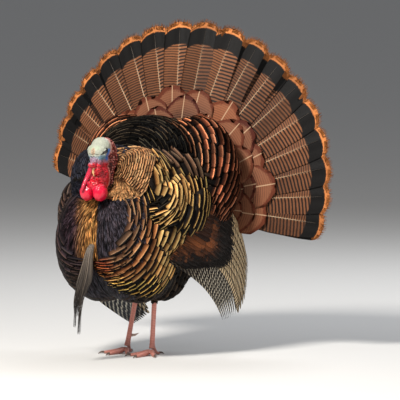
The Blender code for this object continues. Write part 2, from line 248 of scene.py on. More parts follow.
class Tract:
    """A stretch of the body's outside, laid out in rows round a pole.

    Rows are rings at equal shares of the way between the inner and the outer limit, and a feather
    points away from the pole. Rings are cast from the centre to the body's outside."""

    STEPS, EVEN_ROUNDS = 72, 30
    # How far out a ray starts, and how far from the centre a point lies where the first ray finds nothing.
    CAST, MISSED = 0.9, 0.15
    # Rings at the edges that take the normals of the next ring, and how far inside a covered feather lies.
    EDGE, MARGIN = 4, 2.0
    # A turn that lies further than this before the first one is read a full turn later.
    BEFORE = 40

    def __init__(self, tree, side, centre, pole, zero, turns, inner, outer, rounds=12):
        """turns is the first and the last turn; inner and outer are marks of (turn, angle from the pole)."""
        self.side, self.start, self.end = side, *turns
        self.inner, self.outer = eased(*inner), eased(*outer)
        mirror = Vector((side, 1, 1))
        centre = Vector(centre) * mirror + ORIGIN
        pole = (Vector(pole) * mirror + ORIGIN - centre).normalized()
        zero = Vector(zero) * mirror
        first = (zero - pole * zero.dot(pole)).normalized()
        second = first.cross(pole) * side
        self.centre, self.pole, self.first, self.second = map(np.array, (centre, pole, first, second))
        count = self.STEPS
        grid = np.zeros((count + 1, count + 1, 3))
        for i in range(count + 1):
            turn = self.start + (self.end - self.start) * i / count
            low, high = self.inner(turn), self.outer(turn)
            spin = math.radians(turn)
            spoke = first * math.cos(spin) + second * math.sin(spin)
            for j in range(count + 1):
                tilt = math.radians(low + (high - low) * j / count)
                way = pole * math.cos(tilt) + spoke * math.sin(tilt)
                hit = tree.ray_cast(centre + way * self.CAST, -way, self.CAST)[0]
                grid[i, j] = hit if hit else (grid[i, j - 1] if j else centre + way * self.MISSED)
        self.grid = self.smoothed(grid, rounds)
        even = self.smoothed(self.grid, self.EVEN_ROUNDS)
        normal = np.cross(np.gradient(even, axis=0), np.gradient(even, axis=1))
        normal /= np.linalg.norm(normal, axis=2, keepdims=True) + 1e-12
        normal *= np.sign((normal * (grid - self.centre)).sum(axis=2).mean())
        edge = self.EDGE
        normal[:, -edge:] = normal[:, -edge - 1:-edge]
        normal[:edge], normal[-edge:] = normal[edge:edge + 1], normal[-edge - 1:-edge]
        self.normal = normal

    @staticmethod
    def smoothed(grid, rounds):
        """The grid with its points drawn towards their neighbours."""
        grid = grid.copy()
        for _ in range(rounds):
            inside = (grid[:-2, 1:-1] + grid[2:, 1:-1] + grid[1:-1, :-2] + grid[1:-1, 2:]) / 4
            grid[1:-1, 1:-1] = (grid[1:-1, 1:-1] + inside) / 2
            for rim in (grid[0], grid[-1], grid[:, 0], grid[:, -1]):
                rim[1:-1] = (rim[1:-1] * 2 + rim[:-2] + rim[2:]) / 4
        return grid

    def sample(self, table, u, v):
        """A table's values at shares u round the pole and v along the lie."""
        count = self.STEPS
        x, y = np.clip(u, 0, 1) * count, np.clip(v, 0, 1) * count
        i, j = np.minimum(x.astype(int), count - 1), np.minimum(y.astype(int), count - 1)
        fx, fy = (x - i)[..., None], (y - j)[..., None]
        near = table[i, j] * (1 - fx) + table[i + 1, j] * fx
        far = table[i, j + 1] * (1 - fx) + table[i + 1, j + 1] * fx
        return near * (1 - fy) + far * fy

    def covers(self, points):
        """Which of the row-frame points lie inside the tract, as seen from its centre."""
        way = points - self.centre
        way /= np.linalg.norm(way, axis=1, keepdims=True)
        tilt = np.degrees(np.arccos(np.clip(way @ self.pole, -1, 1)))
        turn = np.degrees(np.arctan2(way @ self.second, way @ self.first))
        turn = np.where(turn < self.start - self.BEFORE, turn + 360, turn)
        inside = (turn > self.start + self.MARGIN) & (turn < self.end - self.MARGIN)
        return inside & (tilt > self.inner(turn) + self.MARGIN) & (tilt < self.outer(turn) - self.MARGIN)


UP, FORWARD_DOWN, BACK, BELOW = (0, 0, 1), (0, -1, -0.6), (0, 1, 0), (0, 0, -1)

# The tracts of one side, those that lie over the others first. Each has its centre, its pole, the zero of
# its turns, its first and last turn, its inner and outer limits as marks of (turn, angle from the pole)
# in degrees, and, where it is more than 12, how often its grid is smoothed.
TRACTS = {
    "ruff": ((0.045, -0.070, 0.415), (0.014, -0.145, 0.460), UP, (-45, 215), ((0, 3),),
             ((-45, 56), (0, 70), (40, 74), (72, 68), (100, 71), (119, 75), (128, 65), (137, 56), (150, 51),
              (170, 46), (215, 36))),
    "side": ((0.050, 0.000, 0.370), (0.100, -0.130, 0.420), UP, (15, 172), ((15, 9), (150, 10), (172, 14)),
             ((15, 48), (30, 66), (50, 76), (66, 86), (82, 90), (116, 84), (134, 66), (146, 55), (160, 40),
              (172, 28)), 80),
    "breast": ((0.040, -0.050, 0.290), (0.030, -0.203, 0.345), UP, (42, 186),
               ((42, 21), (60, 19), (83, 19), (125, 22), (164, 31), (186, 37)),
               ((42, 50), (60, 66), (95, 96), (120, 106), (145, 106), (158, 90), (172, 65), (180, 52),
                (186, 44))),
    "crop": ((0, -0.050, 0.300), (0, -0.140, 0.400), FORWARD_DOWN, (0, 85), ((0, 8),),
             ((0, 122), (20, 116), (34, 86), (60, 60), (85, 44))),
    "mantle": ((0, 0.030, 0.380), (0, -0.110, 0.470), UP, (0, 115), ((0, 3), (60, 10), (90, 30), (115, 56)),
               ((0, 124), (80, 132), (104, 128), (115, 118))),
    "under": ((0, 0.130, 0.320), (0, 0.080, 0.100), BACK, (0, 100), ((0, 12),),
              ((0, 172), (60, 172), (100, 120))),
    "belly": ((0, 0.050, 0.300), (0, -0.170, 0.200), BELOW, (0, 112), ((0, 14),), ((0, 150),)),
}


def body_tracts(tree, side):
    """The tracts of one side."""
    return {name: Tract(tree, side, *plan) for name, plan in TRACTS.items()}


# ---------------------------------------------------------------- feathers


class Vane:
    """The plan of one feather: a cambered grid closed by a flat underside."""

    def __init__(self, steps, columns, width, rounding=0.0, camber=0.0, ragged=0.0):
        """steps are places along the feather, and width gives marks of (place, share of the full width)."""
        self.t = np.array(steps, float)
        self.a = np.linspace(-1, 1, columns + 1)
        a, t = np.meshgrid(self.a, self.t)
        self.across, self.along = a.ravel(), t.ravel()
        self.share = eased(*width)(self.along)
        self.rounding, self.camber, self.ragged = rounding, camber, ragged
        n, m = len(steps) - 1, columns
        corner = np.arange(n)[:, None] * (m + 1) + np.arange(m)[None, :]
        top = np.stack([corner, corner + 1, corner + m + 2, corner + m + 1], axis=2).reshape(-1, 4)
        edge = np.arange(n) * (m + 1)
        under = np.stack([edge, edge + m + 1, edge + 2 * m + 1, edge + m], axis=1)
        caps, fills = [], []
        for start, turn in ((0, 1), (n * (m + 1), -1)):
            for k in range(m // 2):
                low, high = start + k, start + m - k
                if high - low == 2:
                    fills.append([low, high, low + 1][::turn])
                else:
                    caps.append([low, high, high - 1, low + 1][::turn])
        self.quads = np.concatenate([top, under] + ([np.array(caps)] if caps else []))
        self.triangles = np.array(fills)

    def __len__(self):
        return len(self.along)

    def volume(self, points):
        """Each feather's signed volume; it is below zero where the faces look inwards."""
        points = points - points.mean(axis=1, keepdims=True)
        halves = np.concatenate([self.quads[:, :3], self.quads[:, [0, 2, 3]], self.triangles])
        one, two, three = (points[:, halves[:, k]] for k in range(3))
        return (one * np.cross(two, three)).sum(axis=(1, 2))


# Half of a bake patch, as a share of its cell.
PATCH = 0.42


def strip(count, row=0, rows=1, share=(0.44, 0.46)):
    """Bake patches in one row; share is half of a patch's width and height in its cell."""
    return np.stack([(np.arange(count) + 0.5) / count, np.full(count, (row + 0.5) / rows),
                     np.full(count, share[0] / count), np.full(count, share[1] / rows)], 1)


def torn_edge(vane, amount, chance, start):
    """How far each point of a worn tip is drawn back: ragged from barb to barb."""
    columns = len(vane.a)
    depth = vane.ragged * chance.random((amount, columns))
    return np.tile(depth, (1, len(vane.t))) * soft(start, 1.0, vane.along)


class Plumage:
    """Feathers gathered for one piece, as arrays."""

    RING_MARKS = 81
    # Random spreads: along a row, and of a feather's length, width, lift and lean.
    SWAY, LENGTHS, WIDTHS, LIFTS, LEANS = 0.06, 0.04, 0.05, 0.0004, 0.06

    def __init__(self, name, seed):
        self.name, self.random = name, np.random.default_rng(seed)
        self.points, self.quads, self.triangles = [], [], []
        self.vane_uv, self.patch_uv, self.tone, self.shade = [], [], [], []
        self.count = 0

    def add(self, vane, points, patches, tone, shade):
        """Adds K feathers of one plan: points (K, M, 3), patches (K, 4) as middle and half sizes."""
        amount, size = len(points), len(vane)
        starts = self.count + np.arange(amount)[:, None, None] * size
        self.points.append(points.reshape(-1, 3))
        quads, triangles = vane.quads[None] + starts, vane.triangles[None] + starts
        turned = vane.volume(points) < 0
        quads[turned], triangles[turned] = quads[turned][..., ::-1], triangles[turned][..., ::-1]
        self.quads.append(quads.reshape(-1, 4))
        self.triangles.append(triangles.reshape(-1, 3))
        u, v = (vane.across + 1) / 2, vane.along
        self.vane_uv.append(np.tile(np.stack([u, v], 1), (amount, 1)))
        spread = np.stack([vane.across, vane.along * 2 - 1], 1)
        self.patch_uv.append((patches[:, None, :2] + spread[None] * patches[:, None, 2:]).reshape(-1, 2))
        self.tone.append(np.repeat(tone, size))
        self.shade.append(shade.reshape(-1) if shade.size == amount * size else np.repeat(shade, size))
        self.count += amount * size

    def cover(self, tract, vane, rows, gap, *, depth, widen, overlap=2.4, lift=-0.001, above=(), shade=0.0,
              keep=None, patch_box=(0.0, 0.0, 1.0, 1.0), loose=0.05):
        """Lays staggered rows of feathers over a tract, with tips on the outside and roots below it.

        gap is the room of one feather in its row, and depth is how deep its root lies. widen and overlap
        say how far it reaches over its neighbours and the rows above. lift raises it, and loose shifts it,
        as a share of a row. Feathers under a tract of above, and those that keep turns down, are left out.
        shade is the number that a feather carries to its finish."""
        step = 1.0 / (rows + 0.6)
        left, bottom, width, height = patch_box
        marks = np.linspace(0, 1, self.RING_MARKS)
        u0, v1, spacing, cells = [], [], [], []
        for row in range(rows):
            v = (row + 1) * step
            ring = tract.sample(tract.grid, marks, np.full(len(marks), v))
            run = np.linalg.norm(np.diff(ring, axis=0), axis=1)
            total = run.sum()
            amount = max(2, int(round(total / given(gap, v))))
            place = (np.arange(amount) + 0.25 + 0.5 * (row % 2)) / amount
            shares = np.concatenate([[0], np.cumsum(run)]) / total
            u0.append(np.interp(place + self.random.normal(0, self.SWAY / amount, amount), shares, marks))
            v1.append(v + self.random.normal(0, loose * step, amount))
            spacing.append(np.full(amount, total / amount))
            cell_y = (row + 0.5) / rows
            sizes = (bottom + height * cell_y, PATCH * width / amount, PATCH * height / rows)
            cells.append(np.stack([left + width * place, *(np.full(amount, size) for size in sizes)], 1))
        u0, v1, spacing, cells = (np.concatenate(x) for x in (u0, v1, spacing, cells))
        tips = tract.sample(tract.grid, u0, v1 - 0.3 * step)
        stays = np.ones(len(u0), bool)
        for upper in above:
            stays &= ~upper.covers(tips)
        if keep is not None:
            stays &= keep(local(tips), u0, v1)
        u0, v1, spacing, cells, tips = (x[stays] for x in (u0, v1, spacing, cells, tips))
        amount = len(u0)
        ragged = 1 - torn_edge(vane, amount, self.random, 0.85)
        round_tip = 1 - vane.rounding * np.abs(vane.across) ** 2.2 * vane.along ** 2
        t = vane.along * round_tip * ragged
        span = overlap * step * (1 + self.random.normal(0, self.LENGTHS, amount))
        v = v1[:, None] - span[:, None] * (1 - t)
        u = np.repeat(u0[:, None], len(vane), 1)
        base = tract.sample(tract.grid, u, v)
        normal = tract.sample(tract.normal, u, v)
        ahead = tract.sample(tract.grid, u, np.clip(v, 0, 0.985) + 0.015)
        behind = tract.sample(tract.grid, u, np.clip(v, 0.015, 1) - 0.015)
        lie = ahead - behind
        lie /= np.linalg.norm(lie, axis=2, keepdims=True) + 1e-9
        across = np.cross(lie, normal) * tract.side
        across /= np.linalg.norm(across, axis=2, keepdims=True) + 1e-9
        half = spacing * 0.5 * widen * (1 + self.random.normal(0, self.WIDTHS, amount))
        half = half[:, None] * vane.share
        raised = given(lift, u, v) + self.random.normal(0, self.LIFTS, amount)[:, None]
        rise = -depth * (1 - t ** 1.3) + raised
        bulge = vane.camber * half * (1 - vane.across ** 2) - half * half * vane.across ** 2 * 3.0
        lean = self.random.normal(0, self.LEANS, amount)[:, None] * t * spacing[:, None]
        points = base + across * (half * vane.across + lean)[..., None] + normal * (rise + bulge)[..., None]
        tone = self.random.random(amount)
        self.add(vane, points, cells, tone, np.zeros(amount) + given(shade, local(tips), u0, v1))

    def piece(self, material, replaced=()):
        """The gathered feathers as one object that rides on the bird."""
        shape = (np.concatenate(part) for part in (self.points, self.quads, self.triangles))
        mesh = mesh_from_arrays(self.name, *shape)
        index = np.empty(len(mesh.loops), np.int32)
        mesh.loops.foreach_get("vertex_index", index)
        for name, table in (("vane", self.vane_uv), ("OFBake", self.patch_uv)):
            layer = mesh.uv_layers.new(name=name)
            layer.uv.foreach_set("vector", np.concatenate(table)[index].astype(np.float32).ravel())
        carry(mesh, "tone", np.concatenate(self.tone))
        carry(mesh, "shade", np.concatenate(self.shade))
        mesh.materials.append(material)
        return settled(new_object(self.name, mesh), replaced)


def settled(thing, replaced=()):
    """Sets what a finished piece rides on and hides the solids that it stands for."""
    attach(thing, "root")
    if replaced:
        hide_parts(*replaced)
    return thing


# ---------------------------------------------------------------- materials


class Value:
    """A shader socket that takes part in Python sums."""

    def __init__(self, shader, socket):
        self.shader, self.socket = shader, socket

    def _sum(self, operation, first, second):
        return self.shader.node("Math", {"operation": operation}, {0: first, 1: second})

    def __add__(self, other):
        return self._sum("ADD", self, other)

    def __radd__(self, other):
        return self._sum("ADD", other, self)

    def __sub__(self, other):
        return self._sum("SUBTRACT", self, other)

    def __rsub__(self, other):
        return self._sum("SUBTRACT", other, self)

    def __mul__(self, other):
        return self._sum("MULTIPLY", self, other)

    def __rmul__(self, other):
        return self._sum("MULTIPLY", other, self)

    def __pow__(self, other):
        return self._sum("POWER", self, other)

    def size(self):
        return self._sum("ABSOLUTE", self, 0.0)

    def sine(self):
        return self._sum("SINE", self, 0.0)

    def fraction(self):
        return self._sum("FRACT", self, 0.0)

    def at_least(self, other):
        return self._sum("MAXIMUM", self, other)

    def at_most(self, other):
        return self._sum("MINIMUM", self, other)


class Shader:
    """One material's node tree with its Principled shader."""

    def __init__(self, name):
        self.material = bpy.data.materials.new(name)
        self.material.use_nodes = True
        self.tree = self.material.node_tree
        self.tree.nodes.clear()
        self.output = self.tree.nodes.new("ShaderNodeOutputMaterial")
        self.skin = self.tree.nodes.new("ShaderNodeBsdfPrincipled")
        self.tree.links.new(self.skin.outputs[0], self.output.inputs[0])

    def feed(self, socket, value):
        """Links a value to a socket, or sets it there."""
        if isinstance(value, Value):
            self.tree.links.new(value.socket, socket)
        elif hasattr(socket.default_value, "__len__") and not isinstance(value, (int, float)):
            opaque = (1.0,) if len(socket.default_value) == 4 and len(value) == 3 else ()
            socket.default_value = (*value, *opaque)
        else:
            socket.default_value = value

    def node(self, kind, settings=None, inputs=None, out=0):
        """A node of a kind with its settings made first, then its sockets fed."""
        made = self.tree.nodes.new("ShaderNode" + kind)
        for key, value in (settings or {}).items():
            if key == "stops":
                stops = made.color_ramp.elements
                while len(stops) > 1:
                    stops.remove(stops[-1])
                for i, (position, colour) in enumerate(value):
                    stop = stops[0] if i == 0 else stops.new(position)
                    stop.position, stop.color = position, (*colour, 1.0)
            else:
                setattr(made, key, value)
        for key, value in (inputs or {}).items():
            self.feed(made.inputs[key], value)
        return Value(self, made.outputs[out])

    def mix(self, factor, first, second, blend="MIX"):
        """Two colours mixed."""
        sockets = {0: factor, 6: first, 7: second}
        return self.node("Mix", {"data_type": "RGBA", "blend_type": blend}, sockets, 2)

    def times(self, colour, tint):
        """A colour multiplied by a tint."""
        return self.mix(1.0, colour, tint, "MULTIPLY")

    def grey(self, value):
        """A grey of a given level."""
        return self.node("CombineColor", None, {0: value, 1: value, 2: value})

    def step(self, low, high, value, start=0.0, end=1.0):
        """A soft rise from start at low to end at high."""
        return self.node("MapRange", {"interpolation_type": "SMOOTHSTEP"},
                         {"Value": value, "From Min": low, "From Max": high, "To Min": start, "To Max": end})

    def blend(self, factor, first, second):
        """Two numbers mixed."""
        return first + (second - first) * factor

    def number(self, name):
        """A number that the mesh carries."""
        return self.node("Attribute", {"attribute_name": name}, out=2)

    def colour(self, name):
        """A colour that the mesh carries."""
        return self.node("Attribute", {"attribute_name": name}, out=0)

    def vane(self):
        """(across, along) of the feather from its own map."""
        pair = self.node("UVMap", {"uv_map": "vane"})
        return tuple(self.node("SeparateXYZ", None, {0: pair}, out=k) for k in (0, 1))

    def axis(self, k):
        """One of the row frame's coordinates."""
        return self.node("SeparateXYZ", None, {0: self.place()}, out=k)

    def place(self):
        """Object coordinates: the row frame."""
        return self.node("TexCoord", out=3)

    def noise(self, scale, detail=3.0):
        """Fractal noise."""
        return self.node("TexNoise", None, {"Vector": self.place(), "Scale": scale, "Detail": detail,
                                            "Roughness": 0.55})

    def bump(self, height, strength, distance):
        """A normal that follows a height."""
        return self.node("Bump", None, {"Height": height, "Strength": strength, "Distance": distance})

    def finish(self, colour, roughness=0.6, normal=None, **plain):
        """Feeds the Principled shader and returns the material."""
        self.feed(self.skin.inputs["Base Color"], colour)
        self.feed(self.skin.inputs["Roughness"], roughness)
        if normal is not None:
            self.feed(self.skin.inputs["Normal"], normal)
        for key, value in plain.items():
            self.feed(self.skin.inputs[key.replace("_", " ")], value)
        return self.material


def barbed(s, vane, colour, roughness, lines, share, dark, bump, gloss):
    """The finish of a vane whose colour is crossed by the fine slanted lines of its barbs.

    lines is how many there are and how steep, share and dark how much they darken the colour and to what,
    and bump the strength and height of their relief."""
    across, along = vane
    many, slant = lines
    barbs = ((along * many + (across - 0.5).size() * slant) * (2 * math.pi)).sine() * 0.5 + 0.5
    colour = s.mix(barbs * share, colour, dark)
    return s.finish(colour, roughness, s.bump(barbs, *bump), Specular_IOR_Level=gloss)


def plume_material(name, palettes, blush=None, base=0.20, tone_and_glint=0.5, gloss=0.06):
    """A feather finish from palettes of bands along the vane; a feather's shade picks the palette.

    base is how bright the dullest feather is, and the spread after it how much brighter the others get at
    random, which on the mantle gives a few feathers painted glints; blush is a place, a reach and a tint for
    the feathers round that place."""
    s = Shader(name)
    across, along = s.vane()
    tone, shade = s.number("tone"), s.number("shade")
    wobble = s.noise(300.0, 2.0) - 0.5
    where = (along + wobble * 0.05 + (tone - 0.5) * 0.035).at_least(0.0)
    colour, *others = [s.node("ValToRGB", {"stops": palette}, {0: where}) for palette in palettes]
    for order, other in enumerate(others):
        colour = s.mix((shade - order).at_least(0.0).at_most(1.0), colour, other)
    patchy = s.noise(26.0)
    warmth = (tone * 7.31).fraction()
    colour = s.times(colour, s.mix(warmth, (1.12, 0.92, 0.74), (0.97, 1.02, 0.92)))
    # Each feather brighter or darker at random; where the spread is large, as on the mantle, the brightest
    # are painted glints.
    colour = s.times(colour, s.grey((base + tone_and_glint * tone + patchy * 0.8) ** 1.8 * 1.25))
    if blush:
        place, reach, hue = blush
        away = s.node("VectorMath", {"operation": "DISTANCE"}, {0: s.place(), 1: at(*place)}, out=1)
        colour = s.mix(s.step(reach, reach * 0.4, away), colour, s.times(colour, hue))
    return barbed(s, (across, along), colour, s.step(0.0, 1.0, patchy, 0.42, 0.60), (70.0, 26.0), 0.30,
                  (0.002, 0.002, 0.002), (0.4, 0.0005), gloss)


# ---------------------------------------------------------------- palettes

# A palette is a row of stops, each a place along the vane and a colour.
DOWN = (0.020, 0.015, 0.012)
SOOT = (0.0020, 0.0018, 0.0020)


def bands(edge, *stops):
    """A palette from the downy root over bright stops to the black border, which starts at the edge; the
    brightest stop before the border is partly the band's own colour and partly a painted highlight.
    """
    return ((0.0, DOWN), *stops, (edge, SOOT), (1.0, SOOT))


GOLD_BAND = bands(0.845, (0.70, (0.003, 0.003, 0.003)), (0.75, (0.10, 0.054, 0.016)),
                  (0.79, (0.56, 0.36, 0.080)), (0.83, (1.0, 0.76, 0.28)))
COPPER_BAND = bands(0.88, (0.57, (0.008, 0.004, 0.003)), (0.66, (0.085, 0.030, 0.012)),
                    (0.80, (0.30, 0.120, 0.048)), (0.86, (0.60, 0.31, 0.15)))
BRONZE_BAND = bands(0.89, (0.60, (0.005, 0.004, 0.004)), (0.72, (0.036, 0.022, 0.016)),
                    (0.84, (0.085, 0.055, 0.040)), (0.87, (0.28, 0.18, 0.12)))
# A darker purple-brown copy of the bronze band for the far side: painted shade.
SHADED_DUSK_BAND = bands(0.89, (0.54, (0.004, 0.003, 0.005)), (0.70, (0.016, 0.011, 0.018)),
                  (0.84, (0.040, 0.028, 0.042)), (0.87, (0.13, 0.085, 0.080)))
BROAD_GOLD = bands(0.90, (0.54, (0.012, 0.006, 0.003)), (0.62, (0.16, 0.075, 0.026)),
                   (0.74, (0.46, 0.26, 0.095)), (0.87, (0.78, 0.52, 0.23)))
DASH_GOLD = bands(0.865, (0.68, (0.003, 0.003, 0.004)), (0.76, (0.05, 0.026, 0.012)),
                  (0.81, (0.36, 0.22, 0.075)), (0.85, (0.74, 0.52, 0.20)))
TAN_DUSK = bands(0.90, (0.60, (0.004, 0.003, 0.003)), (0.68, (0.055, 0.032, 0.022)),
                 (0.80, (0.115, 0.070, 0.048)), (0.885, (0.20, 0.125, 0.088)))
BROAD_COPPER = bands(0.878, (0.62, (0.004, 0.003, 0.003)), (0.70, (0.040, 0.013, 0.008)),
                     (0.79, (0.09, 0.028, 0.015)), (0.86, (0.33, 0.125, 0.072)))
THIN_COPPER = bands(0.885, (0.74, SOOT), (0.80, (0.060, 0.022, 0.012)), (0.845, (0.38, 0.155, 0.080)),
                    (0.87, (0.60, 0.28, 0.155)))
# Near black with a thin pale line before the border, partly the feathers' own pale edge and partly a painted
# glint.
BLACK_STREAK = bands(0.90, (0.50, SOOT), (0.85, (0.0022, 0.0020, 0.0020)), (0.872, (0.036, 0.028, 0.020)),
                     (0.888, (0.080, 0.064, 0.045)))
BLUE_FINE = bands(0.91, (0.56, (0.003, 0.003, 0.005)), (0.80, (0.012, 0.013, 0.026)),
                  (0.88, (0.050, 0.054, 0.085)))
TAN_FINE = ((0.0, DOWN), (0.54, (0.012, 0.006, 0.003)), (0.64, (0.12, 0.052, 0.024)),
            (0.80, (0.36, 0.19, 0.092)), (0.89, (0.56, 0.33, 0.18)), (0.92, (0.008, 0.005, 0.004)),
            (1.0, SOOT))
HAIR_DARK = ((0.0, SOOT), (0.5, (0.008, 0.008, 0.012)), (0.85, (0.045, 0.045, 0.065)),
             (1.0, (0.024, 0.022, 0.028)))
HAIR_PLUM = ((0.0, SOOT), (0.5, (0.005, 0.003, 0.005)), (0.85, (0.034, 0.021, 0.032)),
             (1.0, (0.016, 0.010, 0.014)))
HAIR_GOLD = ((0.0, SOOT), (0.4, (0.040, 0.016, 0.006)), (0.84, (0.52, 0.26, 0.085)),
             (1.0, (0.30, 0.13, 0.045)))
HAIR_TAN = ((0.0, (0.03, 0.012, 0.006)), (0.45, (0.15, 0.068, 0.030)), (0.85, (0.62, 0.33, 0.155)),
            (1.0, (0.85, 0.52, 0.26)))
BELLY_DARK = ((0.0, DOWN), (0.5, (0.006, 0.005, 0.004)), (0.86, (0.008, 0.006, 0.006)),
              (0.93, (0.045, 0.032, 0.022)), (1.0, (0.075, 0.052, 0.036)))


# ---------------------------------------------------------------- skin


NOISE_SEED = 8
# The sizes of the bare skin's relief: beads of the neck, worms of the throat, rings of the snood, long folds
# of the lobes and creases of the brow, and how high or deep each is.
BEADS, WORMS, WARP, RING_STEP, FOLD_STEP = 205.0, (190, 190, 250), 70.0, 0.0026, 0.010
BEAD_HEIGHT, WORM_HEIGHT, WORM_SINK, RING_HEIGHT, FOLD_HEIGHT = 0.0021, 0.0031, 0.0012, 0.00022, 0.0004
WRINKLES, WRINKLE_HEIGHT, CHEEK_WRINKLE_HEIGHT, CREASE_DEPTH = (240, 240, 640), 0.00028, 0.00050, 0.0012
FACE_VOXEL, LEG_VOXEL = 0.00115, 0.0012

# Folds of bare flesh between the snood, the throat and the two lobes: place and radii.
FOLDS = (((-0.0115, -0.2030, 0.4330), (0.0115, 0.0105, 0.0200)),
         ((0.0020, -0.2140, 0.4200), (0.0150, 0.0120, 0.0110)),
         ((0.0060, -0.2040, 0.4560), (0.0120, 0.0080, 0.0130)),
         ((0.0005, -0.2150, 0.4670), (0.0090, 0.0100, 0.0075)))
SNOOD_PATH = ((0.0030, -0.2035, 0.4875), (0.0005, -0.2085, 0.4705), (-0.0060, -0.2130, 0.4540),
              (-0.0125, -0.2189, 0.4350), (-0.0165, -0.2291, 0.4162), (-0.0185, -0.2330, 0.4050))

# The lobes are smoothed this often and then swollen by this much.
LOBE_ROUNDS, LOBE_SWELL = 60, 0.0016
# How far the skin round an eye is made finer, and how far the lids reach.
EYE_REGION, LID_REACH = 0.0115, 0.0125
# Half angles of the eye's opening, long and high, above and below, and the swellings round it: place on the
# left side, radius and height.
OPENING = 60.0, 22.0, 27.0
SWELLINGS = (((-0.001, -0.004, 0.0085), 0.0058, 0.0024), ((0.0, -0.002, -0.0105), 0.0048, 0.0012))


def eye_centre(side):
    """The middle of one eye in the bird's plan."""
    return Vector((EYE.x * side, EYE.y, EYE.z))


def eye_gaze(side):
    """The way that one eye looks."""
    return Vector((side * 0.88, -0.47, 0.03)).normalized()


def eye_axes(side):
    """The gaze of one eye, and the long and the high way of its opening."""
    gaze = eye_gaze(side)
    above = (Vector((0, 0, 1)) - gaze * gaze.z).normalized()
    ahead = gaze.cross(above) * side
    slant = math.radians(30)
    long_way = ahead * math.cos(slant) - above * math.sin(slant)
    high_way = above * math.cos(slant) + ahead * math.sin(slant)
    return np.array(gaze), np.array(long_way), np.array(high_way)


def face_skin():
    """The bare head and neck: lids, brows, cheeks, wrinkles and the beaded red flesh."""
    form = copy_of(FACE)
    eyes = [eye_centre(side) + ORIGIN for _, side in SIDES]
    balls = [(EYE_RADIUS - 0.0004, Matrix.Translation(eye)) for eye in eyes]
    for place, radii in FOLDS:
        balls.append((1.0, Matrix.Translation(at(*place)) @ Matrix.Diagonal((*radii, 1.0))))
    for radius, matrix in balls:
        bmesh.ops.create_uvsphere(form, u_segments=32, v_segments=16, radius=radius, matrix=matrix)
    thing = remeshed("face", form, FACE_VOXEL, 10)
    mesh = thing.data
    form = bmesh.new()
    form.from_mesh(mesh)
    near = [e for e in form.edges if min((v.co - eye).length for v in e.verts for eye in eyes) < EYE_REGION]
    bmesh.ops.subdivide_edges(form, edges=near, cuts=1, use_grid_fill=True)
    low, front = at(0, 0, 0.414).z, at(0, -0.190, 0).y
    lobes = [v for v in form.verts if v.co.z < low and v.co.y < front]
    for _ in range(LOBE_ROUNDS):
        bmesh.ops.smooth_vert(form, verts=lobes, factor=0.5, use_axis_x=True, use_axis_y=True,
                              use_axis_z=True)
    form.to_mesh(mesh)
    form.free()
    points = local(read(mesh, "co"))
    for _, side in SIDES:
        points = open_lids(points, side)
    set_points(mesh, placed(points))
    normal = read(mesh, "normal")
    raised, groove = flesh_relief(points)
    _, y, z = points.T
    raised = raised + LOBE_SWELL * soft(0.417, 0.406, z) * soft(-0.186, -0.194, y)
    set_points(mesh, placed(points) + normal * raised[:, None])
    paint = mesh.color_attributes.new("paint", "FLOAT_COLOR", "POINT")
    paint.data.foreach_set("color", face_paint(points, groove).astype(np.float32).ravel())
    carry(mesh, "wet", soft(0.470, 0.455, z) * soft(-0.160, -0.175, y))
    mesh.polygons.foreach_set("use_smooth", np.ones(len(mesh.polygons), bool))
    mesh.materials.append(face_material())
    return thing


def open_lids(points, side):
    """Draws the skin over one eyeball as two lids with an almond opening, and the brow over them."""
    eye = np.array(eye_centre(side))
    gaze, long_way, high_way = eye_axes(side)
    away = points - eye
    reach = np.linalg.norm(away, axis=1)
    way = away / (reach[:, None] + 1e-9)
    x = np.degrees(np.arcsin(np.clip(way @ long_way, -1, 1)))
    y = np.degrees(np.arcsin(np.clip(way @ high_way, -1, 1)))
    wide, high, deep = OPENING
    edge = (x / wide) ** 2 + (y / np.where(y > 0, high, deep)) ** 2 - 1
    near = (reach < LID_REACH) & (way @ gaze > 0.05)
    lid = EYE_RADIUS + 0.0005 + 0.0008 * np.exp(-((edge - 0.30) / 0.30) ** 2)
    pull = np.exp(-(np.maximum(edge, 0) / 0.9) ** 2) * soft(LID_REACH, 0.0085, reach)
    outside = np.maximum(reach * (1 - pull) + lid * pull, lid)
    inside = EYE_RADIUS - 0.0022
    reach = np.where(near, np.where(edge > 0, outside, inside), reach)
    moved = eye + way * reach[:, None]
    swell = np.zeros(len(points))
    for place, radius, height in SWELLINGS:
        core = eye + np.array(place) * (side, 1, 1)
        swell += np.exp(-(np.linalg.norm(moved - core, axis=1) / radius) ** 2) * height
    swell *= edge > 0
    return moved + np.array((side * 0.85, -0.4, 0.1)) * swell[:, None]


